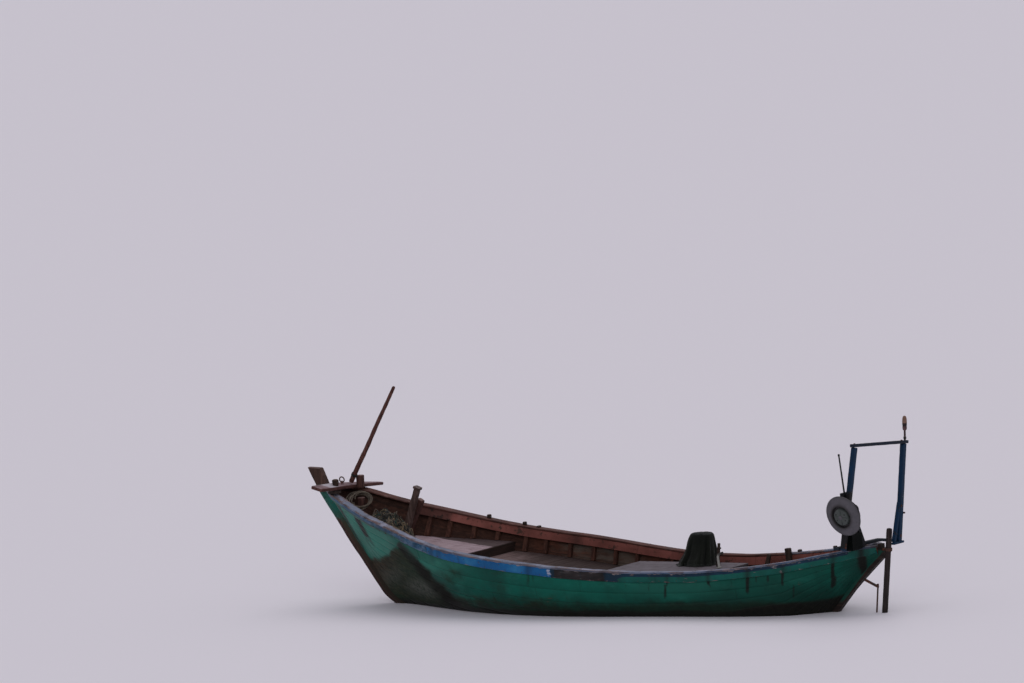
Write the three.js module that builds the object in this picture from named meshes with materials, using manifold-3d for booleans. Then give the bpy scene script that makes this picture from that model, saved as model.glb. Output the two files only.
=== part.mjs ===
// A wooden fishing boat: one open hull with three working decks, a raked stem and a raked stern post,
// a cross beam with bitts and a pole over the bow, and a goal-post frame with a net hauler at the stern.
// Frame: +X to the bow, +Y to port, +Z up. Origin on the centre line, at the waterline, midway between its two ends.
// Tables are in metres, and every solid is built in millimetres.
import * as THREE from "three";
import { mergeVertices } from "three/addons/utils/BufferGeometryUtils.js";
import Module from "manifold-3d";

const wasm = await Module();
wasm.setup();

const MM = 1000;
const BACKBONE_HALF = 0.045; // half width of stem, keel and stern post
const PLANK = 0.028; // planking thickness
const STRAKE = 0.115; // depth of the painted sheer strake
const STRAKE_THICK = 0.018;
const RIB_WIDE = 0.05;
const RIB_IN = 0.076; // inner face of the ribs, from the outside of the planking
const CAP_WIDE_IN = 0.1; // the gunwale cap covers planking, ribs and inner strake
const CAP_THICK = 0.024;
const LEVELS = 9; // levels up each section
const DECK_THICK = 0.03;
const GAP = 0.002;

const PAINT_GREEN = 0x0f6f5f,
  PAINT_BLUE = 0x1c4f86,
  BARE_WOOD = 0x6b4433,
  GREY_WOOD = 0x8d8078,
  DARK_WOOD = 0x3a2a22,
  IRON = 0x2b2725,
  GREY_METAL = 0x8c8a8e;

const v = (x, y, z) => new THREE.Vector3(x * MM, y * MM, z * MM);

// ---------- shape helpers ----------
// A closed solid from triangles, turned so that its faces point out.
function closed(points, tris) {
  let volume = 0;
  const cross = new THREE.Vector3();
  for (const [a, b, c] of tris)
    volume += points[a].dot(cross.crossVectors(points[b], points[c]));
  const index = tris.flatMap(([a, b, c]) => (volume < 0 ? [a, c, b] : [a, b, c]));
  const g = new THREE.BufferGeometry().setFromPoints(points);
  g.setIndex(index);
  return g;
}

// Joins rings of equal even length; point j of a ring faces point n-1-j, so the ends close like a ladder.
function loft(rings) {
  const n = rings[0].length,
    points = rings.flat(),
    tris = [];
  for (let i = 0; i < rings.length - 1; i++)
    for (let j = 0; j < n; j++) {
      const k = (j + 1) % n,
        a = i * n + j,
        b = i * n + k,
        c = (i + 1) * n + k,
        d = (i + 1) * n + j;
      tris.push([a, b, c], [a, c, d]);
    }
  const last = (rings.length - 1) * n;
  for (let j = 0; j < n / 2 - 1; j++) {
    const p = n - 1 - j;
    tris.push([j, p, j + 1], [j + 1, p, p - 1]);
    tris.push([last + j, last + j + 1, last + p], [last + j + 1, last + p - 1, last + p]);
  }
  return closed(points, tris);
}

// A straight bar from a to b, with its width across and its depth along "up"; it may taper.
function bar(a, b, wide, deep, up = [0, 0, 1], wideEnd = wide, deepEnd = deep) {
  const A = v(...a),
    B = v(...b),
    along = B.clone().sub(A).normalize(),
    side = new THREE.Vector3().crossVectors(along, new THREE.Vector3(...up)).normalize(),
    top = new THREE.Vector3().crossVectors(side, along).normalize();
  const ring = (c, w, d) =>
    [
      [-1, -1],
      [1, -1],
      [1, 1],
      [-1, 1],
    ].map(([s, t]) =>
      c
        .clone()
        .addScaledVector(side, (s * w * MM) / 2)
        .addScaledVector(top, (t * d * MM) / 2),
    );
  return loft([ring(A, wide, deep), ring(B, wideEnd, deepEnd)]);
}

// A round rod or cone from a to b.
function rod(a, b, r0, r1 = r0, sides = 12) {
  const A = v(...a),
    B = v(...b),
    d = B.clone().sub(A),
    g = new THREE.CylinderGeometry(r1 * MM, r0 * MM, d.length(), sides, 1);
  g.applyQuaternion(
    new THREE.Quaternion().setFromUnitVectors(new THREE.Vector3(0, 1, 0), d.clone().normalize()),
  );
  g.translate((A.x + B.x) / 2, (A.y + B.y) / 2, (A.z + B.z) / 2);
  return g;
}

// A turned solid about an axis: rows of [distance along the axis, radius], starting and ending on the axis or closing on itself.
function turned(at, axis, rows, sides = 32) {
  const g = new THREE.LatheGeometry(
    rows.map(([s, r]) => new THREE.Vector2(r * MM, s * MM)),
    sides,
  );
  g.applyQuaternion(
    new THREE.Quaternion().setFromUnitVectors(
      new THREE.Vector3(0, 1, 0),
      new THREE.Vector3(...axis).normalize(),
    ),
  );
  const p = v(...at);
  g.translate(p.x, p.y, p.z);
  return g;
}

// A plate cut from a side outline of [x, z] points, centred on the plane y = y0.
function plateXZ(outline, thick, y0 = 0) {
  const shape = new THREE.Shape(outline.map(([x, z]) => new THREE.Vector2(x * MM, z * MM)));
  const g = new THREE.ExtrudeGeometry(shape, { depth: thick * MM, bevelEnabled: false });
  g.rotateX(Math.PI / 2);
  g.translate(0, (y0 + thick / 2) * MM, 0);
  return g;
}

function solid(g) {
  const only = new THREE.BufferGeometry().setAttribute("position", g.getAttribute("position"));
  if (g.index) only.setIndex(g.index);
  const merged = mergeVertices(only, 1e-3);
  const made = new wasm.Manifold(
    new wasm.Mesh({
      numProp: 3,
      vertProperties: new Float32Array(merged.attributes.position.array),
      triVerts: new Uint32Array(merged.index.array),
    }),
  );
  if (made.volume() >= 0) return made;
  const t = new Uint32Array(merged.index.array);
  for (let i = 0; i < t.length; i += 3) [t[i + 1], t[i + 2]] = [t[i + 2], t[i + 1]];
  return new wasm.Manifold(
    new wasm.Mesh({
      numProp: 3,
      vertProperties: new Float32Array(merged.attributes.position.array),
      triVerts: t,
    }),
  );
}
function geometryOf(s) {
  const m = s.getMesh(),
    p = new Float32Array(m.numVert * 3);
  for (let i = 0; i < m.numVert; i++)
    p.set(m.vertProperties.subarray(i * m.numProp, i * m.numProp + 3), i * 3);
  return new THREE.BufferGeometry()
    .setAttribute("position", new THREE.BufferAttribute(p, 3))
    .setIndex(new THREE.BufferAttribute(new Uint32Array(m.triVerts), 1));
}
const join = (...list) => geometryOf(list.map(solid).reduce((a, b) => a.add(b)));
const cut = (body, ...tools) =>
  geometryOf(tools.map(solid).reduce((a, b) => a.subtract(b), solid(body)));

const boat = new THREE.Group();
// Turns a solid's faces outwards, whichever way its profile ran.
function outward(g) {
  const a = g.getAttribute("position"),
    ix = g.index ? g.index.array : Uint32Array.from({ length: a.count }, (_, i) => i),
    p = [new THREE.Vector3(), new THREE.Vector3(), new THREE.Vector3()];
  let volume = 0;
  for (let i = 0; i < ix.length; i += 3) {
    p.forEach((q, k) => q.fromBufferAttribute(a, ix[i + k]));
    volume += p[0].dot(p[1].clone().cross(p[2]));
  }
  if (volume >= 0) return g;
  const turnedIx = Array.from(ix);
  for (let i = 0; i < turnedIx.length; i += 3)
    [turnedIx[i + 1], turnedIx[i + 2]] = [turnedIx[i + 2], turnedIx[i + 1]];
  const out = new THREE.BufferGeometry().setAttribute("position", a);
  out.setIndex(turnedIx);
  return out;
}
function add(name, geometry, color, roughness = 0.7, metalness = 0) {
  const mesh = new THREE.Mesh(
    outward(geometry),
    new THREE.MeshStandardMaterial({ color, roughness, metalness }),
  );
  mesh.name = name;
  boat.add(mesh);
  return mesh;
}
const mirrored = (g) => {
  const c = g.clone();
  c.applyMatrix4(new THREE.Matrix4().makeScale(1, -1, 1));
  const ix = c.index.array;
  for (let i = 0; i < ix.length; i += 3) [ix[i + 1], ix[i + 2]] = [ix[i + 2], ix[i + 1]];
  return c;
};

// ---------- hull sections ----------
// Each row is one section. rabbet: height where the planking meets the backbone. sheerY, sheerZ: top edge.
// outLow, upLow: how far the section runs out and up from the rabbet; inTop, downTop: how it comes down from the sheer.
const SECTION_COLUMNS = ["x", "sheerY", "sheerZ", "rabbet", "outLow", "upLow", "inTop", "downTop"];
const SECTIONS = [
  [-4.09, 0.085, 0.862, 0.735, 0.3, 0.3, 0.2, 0.4],
  [-3.95, 0.232, 0.856, 0.615, 0.3, 0.3, 0.18, 0.42],
  [-3.82, 0.31, 0.838, 0.5, 0.32, 0.28, 0.16, 0.45],
  [-3.65, 0.392, 0.81, 0.35, 0.34, 0.26, 0.14, 0.5],
  [-3.4, 0.498, 0.772, 0.078, 0.38, 0.24, 0.12, 0.52],
  [-3.1, 0.6, 0.722, -0.215, 0.42, 0.22, 0.1, 0.55],
  [-2.86, 0.665, 0.688, -0.44, 0.46, 0.2, 0.08, 0.56],
  [-2.45, 0.742, 0.645, -0.432, 0.56, 0.16, 0.06, 0.57],
  [-2.0, 0.788, 0.607, -0.42, 0.66, 0.12, 0.05, 0.58],
  [-1.5, 0.826, 0.582, -0.405, 0.74, 0.1, 0.05, 0.58],
  [-1.0, 0.88, 0.581, -0.392, 0.78, 0.09, 0.05, 0.58],
  [-0.5, 0.972, 0.6, -0.38, 0.78, 0.085, 0.05, 0.58],
  [0.0, 1.07, 0.635, -0.368, 0.77, 0.085, 0.055, 0.57],
  [0.5, 1.138, 0.685, -0.352, 0.74, 0.09, 0.06, 0.56],
  [1.0, 1.167, 0.74, -0.335, 0.7, 0.1, 0.075, 0.54],
  [1.5, 1.153, 0.797, -0.315, 0.64, 0.115, 0.1, 0.5],
  [1.95, 1.098, 0.862, -0.295, 0.56, 0.135, 0.14, 0.46],
  [2.35, 1.005, 0.942, -0.265, 0.47, 0.16, 0.2, 0.42],
  [2.7, 0.9, 1.03, -0.21, 0.38, 0.19, 0.26, 0.38],
  [3.0, 0.8, 1.11, -0.12, 0.3, 0.23, 0.3, 0.35],
  [3.25, 0.713, 1.176, 0.0, 0.24, 0.26, 0.33, 0.33],
  [3.42, 0.65, 1.22, 0.105, 0.22, 0.28, 0.34, 0.32],
  [3.54, 0.6, 1.258, 0.238, 0.22, 0.29, 0.34, 0.32],
  [3.78, 0.5, 1.34, 0.585, 0.22, 0.3, 0.34, 0.32],
  [3.93, 0.435, 1.398, 0.79, 0.24, 0.3, 0.33, 0.32],
  [4.11, 0.345, 1.455, 1.07, 0.26, 0.3, 0.32, 0.33],
  [4.24, 0.23, 1.483, 1.265, 0.28, 0.3, 0.3, 0.34],
  [4.345, 0.105, 1.497, 1.425, 0.3, 0.3, 0.3, 0.35],
];
const rows = SECTIONS.map((r) =>
  Object.fromEntries(SECTION_COLUMNS.map((c, i) => [c, r[i]])),
);

// Points [y, z] up a section: even steps from the rabbet to the foot of the sheer strake, then the strake itself.
function sectionPoints(s) {
  const y0 = BACKBONE_HALF,
    w = s.sheerY - y0,
    h = s.sheerZ - s.rabbet;
  const c = new THREE.CubicBezierCurve(
    new THREE.Vector2(y0, s.rabbet),
    new THREE.Vector2(y0 + s.outLow * w, s.rabbet + s.upLow * h),
    new THREE.Vector2(s.sheerY - s.inTop * w, s.sheerZ - s.downTop * h),
    new THREE.Vector2(s.sheerY, s.sheerZ),
  );
  c.arcLengthDivisions = 120;
  const L = c.getLength(),
    top = 1 - Math.min(STRAKE, 0.45 * L) / L,
    out = [];
  for (let j = 0; j < LEVELS; j++) {
    const u = (top * j) / (LEVELS - 1),
      p = c.getPointAt(u),
      t = c.getTangentAt(u);
    out.push({ y: p.x, z: p.y, ny: t.y, nz: -t.x });
  }
  const p = c.getPointAt(1),
    t = c.getTangentAt(1);
  out.push({ y: p.x, z: p.y, ny: t.y, nz: -t.x });
  return out;
}
for (const s of rows) s.pts = sectionPoints(s);

// The section moved inwards by "inset": level at the strake and at the ends of the boat, square to the skin lower down.
function insetPoints(s, inset) {
  return s.pts.map((p, j) => {
    if (j >= LEVELS - 1 || Math.abs(s.x) > 2.95) {
      const k = Math.max(p.ny, 0.55);
      return [p.y - inset / k, p.z];
    }
    return [p.y - inset * p.ny, p.z - inset * p.nz];
  });
}
// Section points at any x, straight between the rows as the planking is.
function pointsAt(x, inset) {
  let i = 0;
  while (i < rows.length - 2 && x > rows[i + 1].x) i++;
  const t = (x - rows[i].x) / (rows[i + 1].x - rows[i].x),
    a = insetPoints(rows[i], inset),
    b = insetPoints(rows[i + 1], inset);
  return a.map(([y, z], j) => [y + (b[j][0] - y) * t, z + (b[j][1] - z) * t]);
}
// Half breadth inside the boat at height z.
function halfAt(x, z, inset) {
  const p = pointsAt(x, inset);
  for (let j = 0; j < p.length - 1; j++)
    if (z >= p[j][1] && z <= p[j + 1][1]) {
      const t = (z - p[j][1]) / (p[j + 1][1] - p[j][1] || 1);
      return p[j][0] + (p[j + 1][0] - p[j][0]) * t;
    }
  return z < p[0][1] ? p[0][0] : p[p.length - 1][0];
}
const spans = (x0, x1, list = rows.map((r) => r.x)) => [
  x0,
  ...list.filter((x) => x > x0 + 0.02 && x < x1 - 0.02),
  x1,
];

// Planking, one side: a shell between the outer skin and the inner skin, lifted a little off the backbone.
// It is made in two lengths that meet amidships.
const PLANKING_JOINT = 0.0;
const plankingOf = (list) =>
  loft(
    list.map(([s, x]) => {
      const lift = GAP * 2;
      const outer = s.pts.map((p) => v(x, p.y, p.z + lift * (p === s.pts[0] ? 1 : 0)));
      const inner = insetPoints(s, PLANK).map(([y, z], j) => v(x, Math.max(y, 0.012), z + (j ? 0 : lift)));
      return [...outer, ...inner.reverse()];
    }),
  );
for (const [where, keep, shift] of [
  ["aft", (x) => x <= PLANKING_JOINT, -0.001],
  ["fore", (x) => x >= PLANKING_JOINT, 0.001],
]) {
  const shell = plankingOf(rows.filter((r) => keep(r.x)).map((r) => [r, r.x === PLANKING_JOINT ? r.x + shift : r.x]));
  add(`port_planking_${where}`, shell, PAINT_GREEN, 0.6);
  add(`starboard_planking_${where}`, mirrored(shell), PAINT_GREEN, 0.6);
}

// Sheer strake: the painted top plank, laid over the planking on the outside.
const strakePort = loft(
  rows.map((s) => {
    const a = s.pts[LEVELS - 1],
      b = s.pts[LEVELS],
      o = (p, t) => v(s.x, p.y + t / Math.max(p.ny, 0.55), p.z);
    return [o(a, GAP), o(b, GAP), o(b, GAP + STRAKE_THICK), o(a, GAP + STRAKE_THICK)];
  }),
);
add("port_sheer_strake", strakePort, PAINT_BLUE, 0.55);
add("starboard_sheer_strake", mirrored(strakePort), PAINT_BLUE, 0.55);

// Inner strake: the plank on the inner faces of the ribs, along the working decks.
const INNER_FROM = -3.63,
  INNER_TO = 3.42,
  INNER_STRAKE = 0.016;
const innerStrakePort = loft(
  spans(INNER_FROM, INNER_TO).map((x) => {
    const a = pointsAt(x, RIB_IN + GAP),
      b = pointsAt(x, RIB_IN + GAP + INNER_STRAKE),
      q = (p) => {
        const lo = p[LEVELS - 1],
          hi = p[LEVELS];
        return [v(x, lo[0], lo[1] + 0.004), v(x, hi[0], hi[1] - GAP)];
      };
    const [a0, a1] = q(a),
      [b0, b1] = q(b);
    return [a0, a1, b1, b0];
  }),
);
add("port_inner_strake", innerStrakePort, 0x7a3f33, 0.75);
add("starboard_inner_strake", mirrored(innerStrakePort), 0x7a3f33, 0.75);

// Gunwale cap: the flat rail on top of planking, ribs and inner strake.
const capPort = loft(
  rows.map((s) => {
    const top = s.pts[LEVELS],
      k = Math.max(top.ny, 0.55),
      out = top.y + (STRAKE_THICK + GAP + 0.008) / k,
      inn = Math.max(top.y - CAP_WIDE_IN / k, 0.012),
      z = top.z + GAP;
    return [v(s.x, out, z), v(s.x, out, z + CAP_THICK), v(s.x, inn, z + CAP_THICK), v(s.x, inn, z)];
  }),
);
add("port_gunwale_cap", capPort, 0x7f93a3, 0.65);
add("starboard_gunwale_cap", mirrored(capPort), 0x7f93a3, 0.65);

// ---------- backbone ----------
// Side outlines of [x, z]. The inner edge is the rabbet line of the sections.
const rabbet = rows.map((s) => [s.x, s.rabbet]);
const STEM_FRONT = [
  [2.72, -0.29],
  [3.0, -0.205],
  [3.2, -0.13],
  [3.43, 0.0],
  [3.57, 0.1],
  [3.68, 0.238],
  [3.92, 0.585],
  [4.07, 0.79],
  [4.25, 1.07],
  [4.49, 1.43],
  [4.672, 1.777],
];
const STEM_HEAD = [
  [4.53, 1.785],
  [4.475, 1.765],
  [4.40, 1.59],
  [4.365, 1.5],
];
const STEM_FOOT = 2.7;
add(
  "stem_post",
  plateXZ(
    [...STEM_FRONT, ...STEM_HEAD, ...rabbet.filter(([x]) => x >= STEM_FOOT).reverse()],
    2 * BACKBONE_HALF,
  ),
  0x6d4a34,
  0.8,
);
const KEEL_BOTTOM = [
  [-2.92, -0.54],
  [-1.5, -0.5],
  [0, -0.46],
  [1.5, -0.42],
  [2.3, -0.365],
  [2.698, -0.292],
];
const STERN_HEEL = -2.86;
add(
  "keel",
  plateXZ(
    [
      ...KEEL_BOTTOM,
      [STEM_FOOT - 0.003, -0.2135],
      ...rabbet.filter(([x]) => x > STERN_HEEL + 0.01 && x < STEM_FOOT - 0.01).reverse(),
      [STERN_HEEL + 0.002, -0.44],
    ],
    2 * BACKBONE_HALF,
  ),
  DARK_WOOD,
  0.85,
);

// Shaft line: through the stern post, aft and slightly down.
const SHAFT_AT = [-3.12, 0, -0.243],
  SHAFT_DROP = Math.tan((4 * Math.PI) / 180);
const shaftPoint = (x) => [x, 0, SHAFT_AT[2] + (x - SHAFT_AT[0]) * SHAFT_DROP];
const STERN_AFT = [
  [-4.145, 0.905],
  [-4.15, 0.72],
  [-3.835, 0.437],
  [-3.669, 0.278],
  [-3.416, 0.0],
  [-2.925, -0.54],
];
const sternPostBody = plateXZ(
  [
    ...STERN_AFT.slice().reverse(),
    [-4.095, 0.905],
    ...rabbet.filter(([x]) => x <= STERN_HEEL + 0.001),
  ],
  2 * BACKBONE_HALF,
);
add(
  "stern_post",
  cut(sternPostBody, rod(shaftPoint(-3.1), shaftPoint(-3.6), 0.034, 0.034, 20)),
  DARK_WOOD,
  0.85,
);

// ---------- ribs ----------
// Deck heights: [name, aft end, forward end, z at the aft end, z at the forward end] of the deck's top.
const DECKS = {
  aft: [-3.62, 0.08, 0.455, 0.455],
  main: [0.11, 2.12, 0.33, 0.585],
  fore: [2.15, 3.93, 0.7, 0.9],
};
const deckZ = (x) => {
  const [x0, x1, z0, z1] = x <= 0.095 ? DECKS.aft : x <= 2.135 ? DECKS.main : DECKS.fore;
  return z0 + ((z1 - z0) * (x - x0)) / (x1 - x0);
};
const RIB_X = [-3.4, -3.1, -2.7, -2.3, -1.9, -1.5, -1.1, -0.7, -0.3, 0.3, 0.65, 1.0, 1.35, 1.7, 1.98, 2.35, 2.65, 2.95, 3.2, 3.4];
function ribAt(x) {
  const ring = (xx) => {
    const lo = Math.max(deckZ(x - RIB_WIDE / 2), deckZ(x + RIB_WIDE / 2)) + 0.004,
      o = pointsAt(xx, PLANK + GAP),
      top = o[LEVELS][1] - GAP,
      zs = [lo, lo + (top - lo) * 0.35, lo + (top - lo) * 0.7, top];
    const outer = zs.map((z) => v(xx, halfAt(xx, Math.min(z, o[LEVELS][1]), PLANK + GAP) - 0.002, z)),
      inner = zs.map((z) => v(xx, halfAt(xx, Math.min(z, o[LEVELS][1]), RIB_IN) - 0.0, z));
    return [...outer, ...inner.reverse()];
  };
  return loft([ring(x - RIB_WIDE / 2), ring(x + RIB_WIDE / 2)]);
}
// The clamp runs between planking and inner strake, under the cap, and carries the ribs' heads.
const clampOf = (x0, x1) =>
  loft(
    spans(x0, x1).map((x) => {
      const o = pointsAt(x, PLANK + GAP * 2),
        i = pointsAt(x, RIB_IN - GAP),
        z1 = o[LEVELS][1] - GAP,
        z0 = z1 - 0.045,
        at = (z, inset) => halfAt(x, z, inset);
      return [
        v(x, at(z0, PLANK + GAP * 2), z0),
        v(x, o[LEVELS][0], z1),
        v(x, i[LEVELS][0], z1),
        v(x, at(z0, RIB_IN - GAP), z0),
      ];
    }),
  );
// In three lengths, one along each deck: [name, aft end, forward end].
for (const [where, x0, x1] of [
  ["aft", -3.62, 0.097],
  ["main", 0.099, 2.129],
  ["fore", 2.131, 3.42],
]) {
  const ribs = join(clampOf(x0, x1), ...RIB_X.filter((x) => x > x0 && x < x1).map(ribAt));
  add(`port_ribs_${where}`, ribs, 0x4d3128, 0.85);
  add(`starboard_ribs_${where}`, mirrored(ribs), 0x4d3128, 0.85);
}

// ---------- decks ----------
function deck(x0, x1, z0, z1) {
  return loft(
    spans(x0, x1).map((x) => {
      const z = z0 + ((z1 - z0) * (x - x0)) / (x1 - x0),
        edge = Math.min(halfAt(x, z - DECK_THICK, PLANK + 0.008), halfAt(x, z, PLANK + 0.008));
      return [v(x, edge, z - DECK_THICK), v(x, edge, z), v(x, -edge, z), v(x, -edge, z - DECK_THICK)];
    }),
  );
}
add("aft_deck", deck(...DECKS.aft), GREY_WOOD, 0.85);
add("main_deck", deck(...DECKS.main), GREY_WOOD, 0.85);
add("fore_deck", deck(...DECKS.fore), GREY_WOOD, 0.85);

// Bulkheads close the steps between the decks, and run down into the hull.
function bulkhead(x, top, bottom, thick = 0.024) {
  const ring = (xx) => {
    const zs = [bottom, bottom + (top - bottom) * 0.33, bottom + (top - bottom) * 0.66, top];
    const port = zs.map((z) => v(xx, halfAt(xx, z, PLANK + 0.012), z)),
      star = zs.map((z) => v(xx, -halfAt(xx, z, PLANK + 0.012), z));
    return [...port, ...star.reverse()];
  };
  return loft([ring(x - thick / 2), ring(x + thick / 2)]);
}
add("stern_deck", deck(-4.02, -3.67, 0.812, 0.765), GREY_WOOD, 0.85);
add("stern_bulkhead", bulkhead(-3.655, 0.765, 0.47), BARE_WOOD, 0.8);
add("mid_bulkhead", bulkhead(0.095, DECKS.aft[3] - 0.004, -0.2), BARE_WOOD, 0.8);
add("fore_bulkhead", bulkhead(2.135, DECKS.fore[2] - 0.004, -0.12), BARE_WOOD, 0.8);

// ---------- engine ----------
// A low boarded box on the aft deck, over the engine, with a draped cover on the engine's head.
const BOX = { x0: -1.78, x1: -0.12, y0: -0.44, y1: 0.56, z0: 0.457, z1: 0.548 };
const block = (x0, x1, y0, y1, z0, z1) => {
  const g = new THREE.BoxGeometry((x1 - x0) * MM, (y1 - y0) * MM, (z1 - z0) * MM);
  g.translate(((x0 + x1) / 2) * MM, ((y0 + y1) / 2) * MM, ((z0 + z1) / 2) * MM);
  return g;
};
add("engine_box", block(BOX.x0, BOX.x1, BOX.y0, BOX.y1, BOX.z0, BOX.z1), GREY_WOOD, 0.8);
add("engine_block", block(-1.62, -0.86, -0.24, 0.24, -0.16, 0.4), IRON, 0.6, 0.6);
const COVER_COLUMNS = ["z", "x0", "x1", "y0", "y1"];
const COVER = [
  [0.55, -1.5, -0.86, -0.43, 0.0],
  [0.66, -1.46, -0.95, -0.4, -0.04],
  [0.8, -1.42, -1.02, -0.36, -0.08],
  [0.93, -1.4, -1.07, -0.33, -0.1],
  [0.985, -1.37, -1.1, -0.31, -0.12],
].map((r) => Object.fromEntries(COVER_COLUMNS.map((c, i) => [c, r[i]])));
add(
  "engine_cover",
  loft(
    COVER.map((r) => {
      const cx = (r.x0 + r.x1) / 2,
        cy = (r.y0 + r.y1) / 2,
        hx = (r.x1 - r.x0) / 2,
        hy = (r.y1 - r.y0) / 2,
        ring = [];
      for (let k = 0; k < 16; k++) {
        const t = ((k + 0.5) / 16) * 2 * Math.PI,
          c = Math.cos(t),
          s = Math.sin(t),
          q = (u) => Math.sign(u) * Math.abs(u) ** 0.6;
        ring.push(v(cx + hx * q(c), cy + hy * q(s), r.z));
      }
      return ring;
    }),
  ),
  0x2c352f,
  0.9,
);
add("exhaust_pipe", rod([-1.63, 0.03, 0.552], [-1.61, 0.03, 0.74], 0.016, 0.016, 12), 0xc9c9c4, 0.5);
add("deck_stake", bar([-1.56, -0.05, 0.552], [-1.6, -0.05, 0.86], 0.035, 0.035, [1, 0, 0], 0.028, 0.028), DARK_WOOD, 0.9);

// ---------- bow gear ----------
// Cross beam: a warped plank over both gunwales; its port end is a little higher and it is pitched down aft.
const BEAM_COLUMNS = ["y", "z", "wide", "thick", "pitch"]; // z: middle of the top face, pitch in degrees
const BEAM = [
  [0.76, 1.626, 0.16, 0.045, 15],
  [0.3, 1.597, 0.175, 0.05, 13],
  [-0.3, 1.542, 0.15, 0.048, 8],
  [-0.77, 1.486, 0.1, 0.04, 2],
].map((r) => Object.fromEntries(BEAM_COLUMNS.map((c, i) => [c, r[i]])));
const BEAM_X = 4.07;
add(
  "bow_beam",
  loft(
    BEAM.map((r) => {
      const t = (r.pitch * Math.PI) / 180,
        c = Math.cos(t),
        s = Math.sin(t),
        at = (u, w) => v(BEAM_X + u * c - w * s, r.y, r.z + u * s + w * c);
      return [at(-r.wide / 2, -r.thick), at(-r.wide / 2, 0), at(r.wide / 2, 0), at(r.wide / 2, -r.thick)];
    }),
  ),
  0x6a4038,
  0.85,
);
// Packing blocks between the beam and the gunwale caps.
add("port_beam_chock", block(4.01, 4.13, 0.27, 0.4, 1.4865, 1.522), DARK_WOOD, 0.9);
add(
  "port_bitt",
  turned([4.035, 0.355, 1.609], [0, 0, 1], [[0, 0], [0, 0.04], [0.05, 0.043], [0.066, 0.034], [0.072, 0.0]], 14),
  0x5d4530,
  0.9,
);
{
  const ring = new THREE.TorusGeometry(0.036 * MM, 0.008 * MM, 8, 20); // standing on edge, in the plane of X and Z
  ring.rotateX(Math.PI / 2);
  const p = v(4.06, 0.16, 1.645);
  ring.translate(p.x, p.y, p.z);
  add("mooring_ring", ring, IRON, 0.5, 0.7);
}
add("bow_pole", rod([4.03, -0.012, 1.592], [3.262, -0.012, 2.862], 0.034, 0.022, 12), 0x5a3a30, 0.85);
// Square bitt on the aft face of the beam.
add("starboard_bitt", bar([3.943, -0.1, 1.5], [3.943, -0.1, 1.672], 0.084, 0.084, [1, 0, 0]), 0x6b443b, 0.85);
// Short square post behind it, from the fore deck up, with a coil of rope dropped over its head.
const COIL_POST = [3.88, 0.0];
add(
  "coil_post",
  bar([COIL_POST[0], COIL_POST[1], deckZ(COIL_POST[0] + 0.04) + 0.004], [COIL_POST[0], COIL_POST[1], 1.39], 0.08, 0.08, [1, 0, 0]),
  0x6b443b,
  0.85,
);
const COIL_AT = [3.886, 0.004, 1.35],
  COIL_AXIS = [-0.38, 0.58, 0.72];
add(
  "rope_coil",
  turned(
    COIL_AT,
    COIL_AXIS,
    [
      [-0.03, 0.117],
      [-0.044, 0.14],
      [-0.03, 0.168],
      [0, 0.177],
      [0.03, 0.168],
      [0.044, 0.14],
      [0.03, 0.117],
      [0, 0.112],
      [-0.03, 0.117],
    ],
    24,
  ),
  0x8a7f68,
  0.95,
);
// Two posts on the fore deck.
add("samson_post", bar([3.315, -0.12, deckZ(3.315) + 0.024], [3.062, -0.12, 1.525], 0.085, 0.085, [1, 0, 0], 0.075, 0.075), 0x5b4a42, 0.85);
add("samson_post_short", bar([3.35, -0.215, deckZ(3.35) + 0.03], [3.085, -0.215, 1.345], 0.09, 0.09, [1, 0, 0], 0.09, 0.09), 0x6b4d42, 0.85);
// Heaped net on the fore deck.
const HEAP_COLUMNS = ["x", "y0", "y1", "top"];
const HEAP = [
  [3.05, 0.0, 0.3, 0.97],
  [3.12, -0.02, 0.4, 1.04],
  [3.25, -0.03, 0.44, 1.07],
  [3.385, -0.04, 0.46, 1.08],
  [3.415, -0.38, 0.46, 1.09],
  [3.48, -0.41, 0.45, 1.17],
  [3.56, -0.39, 0.43, 1.21],
  [3.63, -0.34, 0.4, 1.16],
  [3.7, -0.26, 0.32, 1.08],
  [3.79, -0.16, 0.2, 1.0],
].map((r) => Object.fromEntries(HEAP_COLUMNS.map((c, i) => [c, r[i]])));
const HEAP_STEPS = 9;
add(
  "net_heap",
  loft(
    HEAP.map((r) => {
      const z0 = deckZ(r.x) + 0.006,
        inside = (y, z) => {
          const most = Math.max(halfAt(r.x, z, RIB_IN + 0.04), 0.02);
          return Math.max(-most, Math.min(most, y));
        },
        up = [],
        low = [];
      for (let k = 0; k < HEAP_STEPS; k++) {
        const t = k / (HEAP_STEPS - 1),
          y = r.y0 + (r.y1 - r.y0) * t,
          z = z0 + 0.02 + (r.top - z0) * Math.sin(Math.PI * (0.06 + 0.88 * t)) ** 0.7;
        up.push(v(r.x, inside(y, z) , z));
        low.push(v(r.x, inside(y, z0) * 0.96, z0));
      }
      return [...up, ...low.reverse()];
    }),
  ),
  0x6f6552,
  0.95,
);

// ---------- stern frame and net hauler ----------
const FRAME_X = -3.97,
  RAKE = 0.114; // the frame leans aft
const onFrame = (y, z) => [FRAME_X - RAKE * (z - 0.9), y, z];
const POST_WIDE = 0.075,
  POST_DEEP = 0.06;
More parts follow.
